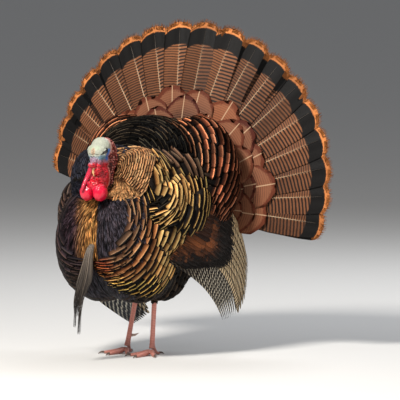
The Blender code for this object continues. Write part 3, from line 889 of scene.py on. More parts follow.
def flesh_relief(points):
    """How far the bare skin is raised by its beads and folds, and how deep each point lies in a groove,
    where the paint darkens it as painted shade.
    """
    noise.seed_set(NOISE_SEED)
    x, y, z = points.T
    neck = soft(-0.166, -0.156, y)
    throat = soft(0.478, 0.462, z) * (1 - neck)
    lobes = soft(0.424, 0.412, z) * soft(-0.198, -0.206, y) * (1 - neck)
    snood = soft(0.0115, 0.0085, near_line(points, SNOOD_PATH))
    crown = (1 - throat) * (1 - neck)
    cheek = soft(0.494, 0.486, z) * crown
    raised, groove = np.zeros(len(points)), np.zeros(len(points))
    for i, point in enumerate(points):
        spot = Vector(point)
        if neck[i] > 0.01 or throat[i] > 0.01:
            gap = noise.voronoi(spot * BEADS)[0]
            bead = min((gap[1] - gap[0]) / 0.55, 1.0)
            bead = bead * bead * (3 - 2 * bead)
            warp = noise.noise_vector(spot * WARP) * 1.3
            worm = min(abs(noise.noise(Vector(point * WORMS) + warp)) / 0.22, 1.0)
            worm = 1 - (1 - worm) ** 2
            plain = max(lobes[i], snood[i] * 0.85)
            raised[i] = bead * BEAD_HEIGHT * neck[i]
            raised[i] += (worm * WORM_HEIGHT - WORM_SINK) * throat[i] * (1 - plain)
            groove[i] = (1 - bead) * neck[i] + (1 - worm) * throat[i] * (1 - plain)
        wrinkle = noise.noise(Vector(point * WRINKLES))
        raised[i] += wrinkle * (WRINKLE_HEIGHT + CHEEK_WRINKLE_HEIGHT * cheek[i]) * crown[i]
        groove[i] += max(0.0, -wrinkle * 1.6) * cheek[i]
        rings = math.sin(point[2] * 2 * math.pi / RING_STEP + 2.5 * noise.noise(spot * 160.0))
        raised[i] += rings * RING_HEIGHT * snood[i] * (1 - lobes[i])
        groove[i] += max(0.0, -rings) * 0.35 * snood[i] * (1 - lobes[i])
    raised += lobes * FOLD_HEIGHT * np.sin(x * 2 * math.pi / FOLD_STEP + np.sin(z * 300))
    front = soft(-0.190, -0.199, y)
    creases = (
        (z - 0.4912 - 0.0008 * np.sin(x * 420), 0.0013, soft(0.0165, 0.0125, np.abs(x))),
        (x - 0.0010 * np.sin(z * 900), 0.0014, soft(0.0085, 0.0055, np.abs(z - 0.4970))),
        (z - 0.4850 - 0.0010 * np.sin(x * 600), 0.0010, soft(0.0140, 0.0100, np.abs(x))),
    )
    # Each crease is cut into the relief and also marked in the groove value, which the paint darkens as
    # painted shade.
    for line, width, span in creases:
        cut = np.exp(-(line / width) ** 2) * front * span
        raised -= cut * CREASE_DEPTH
        groove = np.maximum(groove, cut * 0.82)
    return raised, np.clip(groove, 0, 1)


def near_line(points, line):
    """Each point's distance from a smooth line."""
    fine = curve_through(line, 60)
    return np.min(np.linalg.norm(points[:, None, :] - fine[None], axis=2), axis=1)


def face_paint(points, groove):
    """The colours of the bare skin: white crown, blue cheeks, red throat and lobes, with a dark line along
    each eye that is partly painted shadow under the brow, and painted shade in the grooves.
    """
    x, y, z = points.T
    side = np.abs(x)
    colour = np.tile((0.52, 0.005, 0.016), (len(points), 1))

    def layer(mask, paint):
        colour[:] = colour * (1 - mask[:, None]) + np.array(paint) * mask[:, None]

    ripple = 0.0020 * np.sin(side * 700) + 0.0016 * np.sin(y * 900 + side * 300)
    wavy = z + ripple
    layer(soft(0.424, 0.414, z) * soft(-0.198, -0.206, y), (0.64, 0.004, 0.034))
    layer(soft(-0.170, -0.160, y), (0.50, 0.052, 0.034))
    zones = (
        (0.466, 0.474, wavy, -0.162, -0.170, (0.30, 0.15, 0.20)),
        (0.478, 0.485, wavy, -0.160, -0.168, (0.34, 0.40, 0.44)),
        (0.486, 0.493, wavy - (y + 0.19) * 0.15, -0.158, -0.166, (0.36, 0.37, 0.30)),
    )
    for low, high, height, start, end, paint in zones:
        layer(soft(low, high, height) * soft(start, end, y), paint)
    spots = (
        ((0.0215, -0.1770, 0.4905), (0.0160, 0.0125, 0.0150), 1.00, (0.040, 0.150, 0.46)),
        ((0.0165, -0.1965, 0.4840), (0.0100, 0.0120, 0.0068), 0.85, (0.090, 0.20, 0.27)),
        ((0.0000, -0.2110, 0.4790), (0.0090, 0.0100, 0.0080), 0.80, (0.26, 0.17, 0.24)),
        ((0.0000, -0.2120, 0.4985), (0.0060, 0.0100, 0.0100), 0.60, (0.44, 0.24, 0.13)),
        ((0.0130, -0.1720, 0.5060), (0.0110, 0.0140, 0.0110), 0.55, (0.32, 0.45, 0.24)),
        ((0.0080, -0.2040, 0.5060), (0.0070, 0.0100, 0.0060), 0.35, (0.30, 0.42, 0.24)),
    )
    for centre, radii, share, paint in spots:
        axes = zip((side, y, z), centre, radii)
        away = sum(((value - core) / radius) ** 2 for value, core, radius in axes)
        layer(soft(1.3, 0.5, away) * share, paint)
    # A dark line along each eye's opening: partly the dark rim of the lids and partly painted shadow under
    # the white brow.
    for way in (1, -1):
        eye = np.array(eye_centre(way))
        _, long_way, high_way = eye_axes(way)
        along, high = (points - eye) @ long_way, (points - eye) @ high_way
        thick = np.interp(along, (-0.012, -0.004, 0.004, 0.016), (0.0030, 0.0046, 0.0036, 0.0008))
        slit_and_brow_shadow = soft(1.25, 0.75, np.abs(high + 0.0004) / thick)
        layer(slit_and_brow_shadow * (along > -0.0105) * (along < 0.0165) * (x * way > 0.002), (0.006, 0.006, 0.008))
    snood = soft(0.0115, 0.0090, near_line(points, SNOOD_PATH[1:]))
    layer(snood * soft(0.474, 0.462, z), (0.50, 0.018, 0.050))
    on_neck = soft(-0.176, -0.164, y)
    layer(soft(0.45, 0.05, groove) * on_neck * 0.6, (0.74, 0.25, 0.19))
    layer(soft(0.08, 0.0, groove) * on_neck * 0.6, (0.80, 0.52, 0.46))
    # Deep in the grooves between beads, folds, wrinkles and creases the colour is darkened: painted shade.
    colour *= (1 - 0.90 * soft(0.25, 0.95, groove))[:, None]
    return np.concatenate([colour, np.ones((len(points), 1))], axis=1)


def face_material():
    """Bare living skin, glossier on the red flesh."""
    s = Shader("bare head skin")
    paint, wet = s.colour("paint"), s.number("wet")
    blotch, fleck = s.noise(260.0, 4.0), s.noise(640.0, 3.0)
    colour = s.mix(s.step(0.40, 0.70, blotch, 0.0, 0.45), paint, s.times(paint, (0.60, 0.66, 0.62)))
    colour = s.mix(s.step(0.60, 0.70, fleck, 0.0, 0.55), colour, s.times(colour, (0.42, 0.32, 0.26)))
    height = s.noise(1500.0, 2.0) * 0.5 + s.noise(420.0)
    return s.finish(colour, 0.52 - wet * 0.24, s.bump(height, 0.5, 0.0006), Coat_Weight=wet * 0.35,
                    Specular_IOR_Level=0.40)


def body_skin_material():
    """The dark downy skin that lies under the coat."""
    s = Shader("downy body skin")
    down = s.noise(160.0, 5.0)
    colour = s.mix(down, (0.016, 0.012, 0.011), (0.055, 0.042, 0.036))
    return s.finish(colour, 0.85, s.bump(down, 0.8, 0.003), Specular_IOR_Level=0.2)


HOCK, ANKLE = Vector((0.0325, 0.022, 0.146)), Vector((0.0425, -0.0085, 0.016))
RIGHT_LEG_SHIFT = 0.0265
# Where the shank's plates begin above the ground, and how far its top runs up into the feathers.
SHANK_FROM, HOCK_STUB = 0.020, 0.030
# The length of the plates and where their edges start, on the shank and on the toes, and their relief.
SHANK_PLATES, TOE_PLATES, PLATE_RELIEF = (0.0062, 0.80), (0.0048, 0.78), 0.00075


def leg_line(side):
    """The hock and the ankle of one leg."""
    shift = 0.0 if side > 0 else RIGHT_LEG_SHIFT
    return [np.array((end.x * side, end.y + shift, end.z)) for end in (HOCK, ANKLE)]


def leg_skin():
    """Both scaled legs: plates down the front of the shank and across the toes."""
    thing = remeshed("legs", copy_of(LEGS), LEG_VOXEL, 3)
    mesh = thing.data
    points, normal = local(read(mesh, "co")), read(mesh, "normal")
    plates = np.zeros(len(points))
    for _, side in SIDES:
        mine = points[:, 0] * side > 0
        top, foot = leg_line(side)
        line = (foot - top) / np.linalg.norm(foot - top)
        along = (points - top) @ line
        off = points - top - along[:, None] * line
        turn = np.arctan2(off[:, 0], -off[:, 1])
        zigzag = along + 0.0016 * np.abs(((turn / math.pi * 3) % 2) - 1)
        reach = np.hypot(points[:, 0] - foot[0], points[:, 1] - foot[1])
        shank = mine & (points[:, 2] > SHANK_FROM)
        toe = mine & (points[:, 2] <= SHANK_FROM) & (normal[:, 2] > -0.2)
        for where, run, (length, start) in ((shank, zigzag, SHANK_PLATES), (toe, reach, TOE_PLATES)):
            wave = np.abs(((run / length) % 1) - 0.5) * 2
            plates = np.where(where, soft(start, 1.0, wave), plates)
    lift = np.array([noise.noise(Vector(p) * 300.0) for p in points]) * 0.0002
    raised = points + normal * (lift - plates * PLATE_RELIEF)[:, None]
    raised[:, 2] = np.maximum(raised[:, 2], 0.0002)
    top = points[:, 2].max()
    raised[:, 2] += HOCK_STUB * soft(top - 0.005, top - 0.002, points[:, 2])
    set_points(mesh, placed(raised))
    carry(mesh, "wet", plates)
    mesh.materials.append(leg_material())
    return thing


def thigh_cuff(name, side, material):
    """Short dark feathers that close round the top of one leg."""
    plume = Plumage("thigh_" + name, 91 + side)
    plan = Vane((0, 0.35, 0.7, 1), 2, ((0, 0.7), (0.5, 1.0), (1, 0.35)), ragged=0.08)
    top, foot = leg_line(side)
    lean = (top - foot) / np.linalg.norm(top - foot)
    girth = eased((-0.024, 0.0068), (-0.010, 0.0090), (0.0, 0.0135), (0.020, 0.024), (0.050, 0.034))
    rings, count = 10, 20
    for ring in range(rings):
        angles = (np.arange(count) + 0.5 * (ring % 2)) * 2 * math.pi / count
        angles = angles + plume.random.normal(0, 0.06, count)
        length = 0.026 * (1 + plume.random.normal(0, 0.08, count))
        height = 0.050 - 0.0052 * ring - length[:, None] * plan.along
        radius = girth(height) + 0.0012 * plan.along
        angle = angles[:, None] + plan.across * plan.share * 0.0048 / radius
        flat = np.stack([np.cos(angle) * radius, np.sin(angle) * radius, np.zeros_like(radius)], -1)
        points = placed(top) + lean * height[..., None] + flat
        plume.add(plan, points, strip(count, ring, rings), plume.random.random(count), np.zeros(count))
    return plume.piece(material)


def leg_material():
    """Pink-red scaled legs, darker between the plates and darker brown low on the toes."""
    s = Shader("scaled legs")
    grooves = s.number("wet")
    patch = s.noise(70.0)
    colour = s.mix(patch, (0.78, 0.23, 0.175), (0.98, 0.44, 0.35))
    colour = s.mix(s.noise(900.0) * 0.35, colour, (0.60, 0.26, 0.20))
    colour = s.mix(grooves * 0.45, colour, (0.20, 0.060, 0.048))
    colour = s.mix(s.step(0.045, 0.012, s.axis(2)) * 0.6, colour, (0.26, 0.105, 0.080))
    return s.finish(colour, s.step(0.2, 0.8, patch, 0.42, 0.60), s.bump(s.noise(1100.0, 2.0), 0.35, 0.0004))


# ---------------------------------------------------------------- bare parts


def eyeball(side_name, side):
    """One eye: dark pupil, brown iris and a bulged clear front."""
    gaze = eye_gaze(side)
    form = bmesh.new()
    turn = gaze.to_track_quat("Z", "Y").to_matrix().to_4x4()
    centre = eye_centre(side) + ORIGIN
    bmesh.ops.create_uvsphere(form, u_segments=48, v_segments=32, radius=EYE_RADIUS,
                              matrix=Matrix.Translation(centre) @ turn)
    angles = []
    for corner in form.verts:
        away = corner.co - centre
        angle = math.degrees(away.angle(gaze))
        bulge = 0.0003 * math.exp(-(angle / 34) ** 4)
        corner.co = centre + away.normalized() * (EYE_RADIUS - 0.00005 + bulge)
        angles.append(angle)
    for face in form.faces:
        face.smooth = True
    name = "eyeball_" + side_name
    mesh = mesh_of(name, form)
    carry(mesh, "ring", angles)
    s = Shader("eye " + side_name)
    ring = s.number("ring")
    streak = s.noise(1400.0, 2.0)
    iris = s.mix(streak, (0.022, 0.010, 0.006), (0.055, 0.026, 0.012))
    colour = s.mix(s.step(26.0, 30.0, ring), (0.003, 0.003, 0.003), iris)
    colour = s.mix(s.step(46.0, 52.0, ring), colour, (0.020, 0.012, 0.010))
    mesh.materials.append(s.finish(colour, 0.08 + streak * 0.02, Coat_Weight=1.0, Coat_Roughness=0.03))
    return settled(new_object(name, mesh), ["eye_" + side_name])


def horn_piece(name, nodes, voxel, material, carve=None):
    """Horn parts as one smooth closed shape in place of their solids."""
    thing = remeshed(name, copy_of(nodes), voxel, 3)
    if carve:
        points = local(read(thing.data, "co"))
        set_points(thing.data, placed(carve(points, read(thing.data, "normal"))))
    thing.data.materials.append(material)
    return settled(thing, nodes)


BILL_VOXEL, CLAW_VOXEL = 0.0006, 0.0005
# The left nostril's middle, its radii and its depth, and the step and relief of the bill's growth lines.
NOSTRIL, NOSTRIL_RADII, NOSTRIL_DEPTH = (0.0056, -0.2045, 0.4735), (0.0022, 0.0016, 0.0030), 0.0013
GROWTH_STEP, GROWTH_RELIEF = 0.0021, 0.00005
# The dark and the pale tint of the horn.
CLAW_TINTS = (0.055, 0.036, 0.028), (0.16, 0.11, 0.085)
SPUR_TINTS = (0.58, 0.38, 0.30), (0.88, 0.70, 0.58)


def bill_shape(points, normal):
    """Nostrils and growth lines on the bill."""
    for side in (1, -1):
        away = (points - np.array(NOSTRIL) * (side, 1, 1)) / np.array(NOSTRIL_RADII)
        points = points - normal * (np.exp(-(away ** 2).sum(axis=1)) * NOSTRIL_DEPTH)[:, None]
    rings = np.sin(points[:, 2] * 2 * math.pi / GROWTH_STEP) * GROWTH_RELIEF
    return points + normal * rings[:, None]


def bill_material():
    """Horn bill: grey-pink at the base and straw yellow to the tip."""
    s = Shader("bill horn")
    height = s.axis(2)
    cloud = s.noise(500.0)
    colour = s.mix(s.step(0.474, 0.456, height + cloud * 0.006), (0.30, 0.19, 0.15), (0.86, 0.58, 0.25))
    colour = s.mix(cloud * 0.30, colour, (0.50, 0.33, 0.17))
    return s.finish(colour, 0.34 + cloud * 0.12, s.bump(s.noise(900.0, 2.0), 0.25, 0.0003), Coat_Weight=0.2)


def horn_material(name, scale, tints, roughness, spread, coat):
    """Clouded horn of the claws and spurs."""
    s = Shader(name)
    cloud = s.noise(scale)
    grain = s.bump(s.noise(1300.0, 2.0), 0.3, 0.0003)
    return s.finish(s.mix(cloud, *tints), roughness + cloud * spread, grain, Coat_Weight=coat)


# ---------------------------------------------------------------- beard

BEARD_PATH = ((0, -0.205, 0.288), (-0.001, -0.2260, 0.262), (-0.004, -0.2410, 0.200),
              (-0.010, -0.2515, 0.166), (-0.0145, -0.2565, 0.138), (-0.018, -0.2590, 0.066))
BEARD_RADII = (0.0060, 0.0105, 0.0225, 0.0150, 0.0100, 0.0016)
BRISTLE_STEPS, PATCH_COLUMNS = 14, 24
# The share of bristles that hang on in the two long tails.
TAIL_SHARE = 0.16


def beard_bristles(count, seed):
    """Coarse bristles that hang from the breast, ending at many lengths, with two long dark tails."""
    chance = np.random.default_rng(seed)
    marks = np.linspace(0, 1, 60)
    line = curve_through(BEARD_PATH, len(marks))
    radius = curve_through([(r, 0, 0) for r in BEARD_RADII], len(marks))[:, 0]
    share = np.linspace(0, 1, BRISTLE_STEPS)
    plume = Plumage("beard_bristles", seed)
    stem = Vane(share, 2, ((0, 1.0), (0.7, 0.8), (1, 0.15)))
    edges = stem.share.reshape(BRISTLE_STEPS, 3, 1)
    patch_rows = count // PATCH_COLUMNS + 1
    rows, tones, patches = [], [], []
    for k in range(count):
        angle = chance.random() * 2 * math.pi
        spread = math.sqrt(chance.random())
        offset = np.array((math.cos(angle) * spread, math.sin(angle) * spread))
        tail = chance.random() < TAIL_SHARE
        if tail:
            end = (0.97 if k % 2 else 0.90) + 0.03 * chance.random()
        else:
            end = 0.42 + 0.40 * chance.random() ** 0.8
        where = share * end
        core = np.stack([np.interp(where, marks, line[:, c]) for c in range(3)], 1)
        width = np.interp(where, marks, radius) * 0.88
        x = np.full(BRISTLE_STEPS, offset[0])
        if tail:
            side = 1 if k % 2 else -1
            pulled = soft(0.45, 0.75, where)
            x = offset[0] * (1 - pulled) + (side * 0.70 + offset[0] * 0.25) * pulled
        width = np.maximum(width, 0.0085 * soft(0.55, 0.75, where) * tail)
        sway = chance.normal(0, 0.0012) * share ** 2
        body = core + np.stack([x * width + sway, offset[1] * width * 0.48, np.zeros(BRISTLE_STEPS)], 1)
        thick = 0.00042 * (0.8 + 0.4 * chance.random())
        points = np.zeros((BRISTLE_STEPS, 3, 3))
        for c, a in enumerate((-1, 0, 1)):
            points[:, c] = body + np.array((a * thick, 0, 0)) * edges[:, c]
            points[:, c, 1] -= (1 - abs(a)) * thick * 1.3
        rows.append(placed(points.reshape(-1, 3)))
        tones.append(chance.random())
        row, column = divmod(k, PATCH_COLUMNS)
        patches.append(((column + 0.5) / PATCH_COLUMNS, (row + 0.5) / patch_rows, 0.017, 0.017))
    plume.add(stem, np.array(rows), np.array(patches), np.array(tones), np.zeros(count))
    s = Shader("beard bristle")
    _, along = s.vane()
    tone = s.number("tone")
    colour = s.mix(tone, (0.035, 0.027, 0.022), (0.26, 0.20, 0.15))
    colour = s.mix(s.step(0.35, 0.95, along), colour, (0.020, 0.016, 0.015))
    return plume.piece(s.finish(colour, 0.45 + tone * 0.2, Specular_IOR_Level=0.4), ["beard"])


# ---------------------------------------------------------------- tail

FAN_HUB = np.array((0.0, 0.161, 0.358))
FAN_RADIUS, FAN_INNER = 0.453, 0.0675
# How much shorter the outermost feathers are, to the left and to the right.
FAN_SHORTENING = (0.106, 0.136)
FAN_ROLL, FAN_LEAN, FAN_CONE = (math.radians(d) for d in (11.0, 2.0, 10.5))
QUILLS, QUILL_STEP, QUILL_HALF = 18, math.radians(10.08), 0.0445
# Where the closed vane ends, as a share of a quill's reach, and the loose barbs of its fringe.
VANE_END, FRINGE_BARBS = 0.978, 64


def fan_axes():
    """The fan's middle, sideways and forward directions."""
    upright = np.array((0.0, math.sin(FAN_LEAN), math.cos(FAN_LEAN)))
    sideways = np.array((1.0, 0.0, 0.0))
    middle_way = upright * math.cos(FAN_ROLL) + sideways * math.sin(FAN_ROLL)
    across = sideways * math.cos(FAN_ROLL) - upright * math.sin(FAN_ROLL)
    return middle_way, across, np.cross(across, middle_way)


def fan_place(reach, angle, lift):
    """Row-frame points of the fan: reach from the hub, angle from its middle and lift to the front."""
    middle_way, across, forward = fan_axes()
    spoke = np.cos(angle)[..., None] * middle_way + np.sin(angle)[..., None] * across
    bent = spoke * math.cos(FAN_CONE) - forward * math.sin(FAN_CONE)
    return FAN_HUB + bent * reach[..., None] + forward * lift[..., None] + np.array(ORIGIN)


def quill_reach(angle):
    """How far a tail feather reaches at its angle."""
    shortening = np.where(angle > 0, FAN_SHORTENING[1], FAN_SHORTENING[0])
    return FAN_RADIUS * (1 - shortening * (np.degrees(np.abs(angle)) / 90.0) ** 2)


def fan_feathers(plume, vane, angles, inner, outer, half, lifts, fold, patches):
    """Feathers of the fan as one batch.

    inner is where they start, outer the share of a quill's reach where they end, and fold lowers the
    vane's sides."""
    amount = len(angles)
    rim = 1 - vane.rounding * np.abs(vane.across) ** 2.6
    fringe = 1 - torn_edge(vane, amount, plume.random, 0.95)
    reach_end = (quill_reach(angles) * outer)[:, None] * rim * fringe
    reach = inner + (reach_end - inner) * vane.along
    width = half * vane.share / np.maximum(reach, 0.05)
    angle = angles[:, None] + vane.across * width
    lift = lifts[:, None] + fold * (1 - np.abs(vane.across) ** 1.5) * (0.5 + 0.5 * (1 - vane.along))
    ripple = 0.0003 * np.sin(vane.across * 9 + angles[:, None] * 40) * vane.along
    points = fan_place(reach, angle, lift + ripple)
    plume.add(vane, points, patches, plume.random.random(amount), reach)


def tail_pieces():
    """The eighteen great tail feathers with their fringes, and their pale shafts."""
    plume = Plumage("tail_quills", 21)
    chance = plume.random
    angles = (np.arange(QUILLS) - (QUILLS - 1) / 2) * QUILL_STEP
    lifts = 0.0026 - 0.0056 * np.abs(angles) / angles.max()
    vane = Vane(np.concatenate([np.linspace(0, 0.9, 40), np.linspace(0.91, 1, 12)]), 24,
                ((0, 0.30), (0.25, 0.62), (0.6, 0.92), (0.85, 1.0), (0.97, 0.98), (1, 0.90)),
                rounding=0.035, ragged=0.004)
    places = np.stack([0.028 + np.arange(QUILLS) / 18.0, np.full(QUILLS, 0.5), np.full(QUILLS, 0.0265),
                       np.full(QUILLS, 0.47)], 1)
    fan_feathers(plume, vane, angles, FAN_INNER, VANE_END, QUILL_HALF, lifts, 0.0006, places)
    count = FRINGE_BARBS
    barb = Vane((0, 0.5, 1), 2, ((0, 1.0), (0.5, 0.8), (1, 0.12)))
    for quill, quill_angle in enumerate(angles):
        across = np.linspace(-0.97, 0.97, count) + chance.normal(0, 0.006, count)
        rim = 1 - vane.rounding * np.abs(across) ** 2.6
        far = quill_reach(quill_angle)
        tip = far * (VANE_END + (1 - VANE_END) * chance.random(count) ** 0.7) * rim
        base = far * 0.956 * rim
        reach = base[:, None] + (tip - base)[:, None] * barb.along
        sway = chance.normal(0, 0.004, count)[:, None] * barb.along ** 2
        off = (across * QUILL_HALF * 0.95 / far)[:, None]
        angle = quill_angle + off + sway + barb.across * barb.share * 0.0009 / FAN_RADIUS
        lift = lifts[quill] + 0.0004 + chance.normal(0, 0.0006, count)[:, None] * barb.along + 0 * reach
        patches = np.stack([places[quill, 0] + across * 0.026, np.full(count, 0.99), np.full(count, 0.0003),
                            np.full(count, 0.008)], 1)
        plume.add(barb, fan_place(reach, angle, lift), patches, chance.random(count) + 1.0, reach)
    plume.piece(tail_material(), ["tail_fan"])
    shafts = Plumage("tail_shafts", 22)
    stem = Vane(np.linspace(0, 1, 24), 4, ((0, 1.0), (0.5, 0.62), (1, 0.16)))
    fan_feathers(shafts, stem, angles, FAN_INNER, 0.930, 0.00105, lifts + 0.0013, 0.0009, places)
    shafts.piece(shaft_material())


def tail_material():
    """Barred brown tail feathers with a black band and a rusty fringed tip."""
    s = Shader("barred tail vane")
    across, along = s.vane()
    tone, reach = s.number("tone"), s.number("shade")
    wave, grain = s.noise(45.0) - 0.5, s.noise(420.0) - 0.5
    off = (across - 0.5).size()
    bold = s.step(0.49, 0.51, across + wave * 0.04)
    curve = reach + wave * 0.0040 - off * 0.010
    broad = s.step(-0.30, 0.35, (curve * (2 * math.pi / 0.0086)).sine() + grain * 0.5)
    fine = s.step(-0.30, 0.60, (curve * (2 * math.pi / 0.0062)).sine() + grain * 1.5)
    bars = s.blend(s.step(0.25, 0.75, bold * 0.6 + tone * 0.4), fine * 0.84, broad * 0.96)
    brown = s.mix(s.noise(16.0, 2.0), (0.095, 0.034, 0.015), (0.21, 0.080, 0.034))
    brown = s.mix(s.step(0.28, 0.44, reach) * 0.5, brown, (0.30, 0.118, 0.048))
    brown = s.mix(s.step(0.06, 0.0, off) * 0.5, brown, (0.52, 0.27, 0.14))
    colour = s.mix(bars, brown, (0.008, 0.0045, 0.0035))
    fringe = s.step(0.99, 1.01, tone)
    edge = along + grain * 0.010
    colour = s.mix(s.step(0.848, 0.856, edge), colour, (0.0022, 0.0018, 0.0018))
    rust = s.mix(s.noise(110.0), (0.36, 0.100, 0.026), (0.70, 0.260, 0.075))
    colour = s.mix(s.step(0.958, 0.966, edge + grain * 0.01).at_least(fringe), colour, rust)
    colour = s.times(colour, s.grey(0.72 + tone.at_most(1.0) * 0.40))
    return barbed(s, (across, along), colour, 0.55, (260.0, 46.0), 0.20, (0.006, 0.004, 0.003),
                  (0.3, 0.0005), 0.15)


def shaft_material():
    """Cream horn of the feather shafts."""
    s = Shader("feather shaft")
    _, along = s.vane()
    cloud = s.noise(200.0, 2.0)
    colour = s.mix(cloud, (0.50, 0.34, 0.20), (0.74, 0.58, 0.39))
    colour = s.mix(s.step(0.78, 0.93, along) * 0.9, colour, (0.030, 0.022, 0.018))
    return s.finish(colour, 0.38 + cloud * 0.1)


def covert_material():
    """Tail coverts: grey-mauve and chestnut vermiculated vanes with soft dark red-brown ends."""
    s = Shader("tail covert vane")
    across, along = s.vane()
    tone, reach = s.number("tone"), s.number("shade")
    grain = s.noise(380.0) - 0.5
    off = (across - 0.5).size()
    turn = (reach + grain * 0.0030 + off * 0.014) * (2 * math.pi / 0.0056)
    bars = s.step(-0.4, 0.7, turn.sine() + grain * 1.2)
    base = s.mix(s.noise(22.0), (0.068, 0.029, 0.018), (0.165, 0.078, 0.048))
    base = s.mix(s.step(0.3, 0.9, tone), base, (0.27, 0.088, 0.038))
    colour = s.mix(bars * s.blend(tone, 0.82, 0.50), base, (0.012, 0.006, 0.005))
    colour = s.mix(s.step(0.70, 0.90, along) * 0.5, colour, (0.28, 0.108, 0.056))
    rim = along + off * off * 0.30 + grain * 0.07
    border = s.mix(tone, (0.065, 0.014, 0.009), (0.15, 0.040, 0.018))
    colour = s.mix(s.step(0.925, 0.955, rim), colour, border)
    colour = s.mix(s.step(0.018, 0.008, off) * 0.7, colour, (0.55, 0.36, 0.22))
    return barbed(s, (across, along), colour, 0.52, (90.0, 30.0), 0.25, (0.008, 0.005, 0.004),
                  (0.35, 0.0006), 0.08)


# Each side of the fan: its piece, its solid, which way it faces, the lift of one row over the last, how far
# a vane's sides are folded down, and its rows as (share of the quill's reach, feathers, half width).
COVERTS = (
    ("coverts_front", "tail_coverts_upper", 1, 0.0019, 0.0010,
     ((0.63, 11, 0.054), (0.55, 10, 0.050), (0.44, 11, 0.041), (0.32, 12, 0.029))),
    ("coverts_back", "tail_coverts_under", -1, 0.0034, -0.0024,
     ((0.590, 15, 0.040), (0.48, 14, 0.036), (0.37, 13, 0.031))),
)
COVERT_SPREAD = math.radians(86.0)


def tail_coverts():
    """The rows of coverts over the roots of the tail, front and back."""
    vane = Vane(np.concatenate([np.linspace(0, 0.85, 14), np.linspace(0.89, 1, 6)]), 12,
                ((0, 0.35), (0.4, 0.75), (0.8, 1.0), (0.94, 0.97), (1, 0.80)), rounding=0.085, ragged=0.022)
    for name, node, sign, step, fold, rows in COVERTS:
        plume = Plumage(name, 31 + sign)
        for row, (share, count, half) in enumerate(rows):
            angles = np.linspace(-COVERT_SPREAD, COVERT_SPREAD, count)
            angles = angles + plume.random.normal(0, 0.012, count)
            order = np.abs(angles) / COVERT_SPREAD
            lifts = sign * (0.0052 + step * row + 0.0009 * (np.arange(count) % 2) - 0.0012 * order)
            outer = share * (1 + plume.random.normal(0, 0.030, count))
            patches = strip(count, row, len(rows), (PATCH, PATCH))
            fan_feathers(plume, vane, angles, 0.05, outer, half, lifts, fold, patches)
        plume.piece(covert_material(), [node])


# ---------------------------------------------------------------- wings

WRIST, ELBOW = (-0.115, 0.243), (-0.015, 0.385)
WING_TIPS = ((0.0, 0.175, 0.073), (0.12, 0.214, 0.076), (0.25, 0.262, 0.086), (0.38, 0.268, 0.115),
             (0.55, 0.248, 0.172), (0.70, 0.240, 0.226), (0.85, 0.222, 0.266), (1.0, 0.160, 0.323))
WING_OUT, PRIMARY_SHARE, RIGHT_WING_DROP, WING_SWEEP, WING_BEND = 0.178, 0.33, 0.020, 0.66, 0.050
# Where the wing's surface starts to draw in towards the body: before and behind its middle, low down and
# at the shoulder, and how strongly.
WING_MIDDLE, WING_LOW, WING_HIGH = 0.05, 0.22, 0.325
DRAW_BEFORE, DRAW_BEHIND, DRAW_BELOW, DRAW_ABOVE = 1.6, 0.35, 1.9, 0.10


def wing_place(side, order, reach, lift):
    """Row-frame points of the spread wing: order from wrist to elbow, share of reach and lift outwards."""
    marks = np.array(WING_TIPS)
    swept = order * WING_SWEEP
    tip_y = np.interp(swept, marks[:, 0], marks[:, 1])
    tip_z = np.interp(swept, marks[:, 0], marks[:, 2]) - (RIGHT_WING_DROP * (1 - order) if side < 0 else 0)
    root_y = WRIST[0] + (ELBOW[0] - WRIST[0]) * order
    root_z = WRIST[1] + (ELBOW[1] - WRIST[1]) * order
    bend = 4 * reach * (1 - reach) * order * WING_BEND
    y, z = root_y + (tip_y - root_y) * reach + bend * 0.6, root_z + (tip_z - root_z) * reach + bend * 0.8
    before, behind = np.maximum(0, WING_MIDDLE - y), np.maximum(0, y - WING_MIDDLE)
    below, above = np.maximum(0, WING_LOW - z), np.maximum(0, z - WING_HIGH)
    out = WING_OUT - DRAW_BEFORE * before ** 2 - DRAW_BEHIND * behind ** 2 - DRAW_BELOW * below ** 2
    out = out - DRAW_ABOVE * above
    return placed(np.stack([side * (out + lift), y, z], -1))


def wing_feathers(plume, vane, side, orders, starts, ends, half, lift, tilt, patches):
    """Feathers along the wing as one batch; half is in orders, tilt lowers the side towards the body."""
    amount = len(orders)
    rim = 1 - vane.rounding * np.abs(vane.across) ** 2.4
    fringe = 1 - torn_edge(vane, amount, plume.random, 0.90)
    starts, ends, lift = (np.broadcast_to(x, amount)[:, None] for x in (starts, ends, lift))
    reach = starts + (ends * rim * fringe - starts) * vane.along
    order = orders[:, None] + half * vane.across * vane.share
    rise = lift - tilt * vane.across + 0.0004 * (1 - vane.across ** 2)
    points = wing_place(side, order, reach, rise)
    middle_line = wing_place(side, np.repeat(orders[:, None], len(vane), 1), reach, np.zeros_like(reach))
    run = np.linalg.norm(middle_line - middle_line[:, :1], axis=2)
    plume.add(vane, points, patches, plume.random.random(amount), run)


# The flight feathers of a wing: their first and last order, how wide a vane is in their steps, its outline,
# and the period, dark share, strength and two pale colours of its bars.
FLIGHT = {
    "primaries": (0.0, PRIMARY_SHARE, 0.70,
                  ((0, 0.9), (0.55, 1.0), (0.78, 0.97), (0.90, 0.78), (0.96, 0.60), (1, 0.25)),
                  (0.0150, 0.66, 1.0, (0.62, 0.50, 0.34), (1.0, 0.92, 0.74))),
    "secondaries": (PRIMARY_SHARE, 1.0, 0.80, ((0, 0.9), (0.5, 1.0), (0.88, 1.0), (0.96, 0.86), (1, 0.60)),
                    (0.0125, 0.42, 0.96, (0.55, 0.33, 0.14), (1.0, 0.80, 0.49))),
}
RIGHT_OUTLINE = ((0, 0.9), (0.55, 1.0), (0.90, 0.98), (0.96, 0.84), (1, 0.45))
FLIGHT_COUNT, FLIGHT_START = 9, 0.03


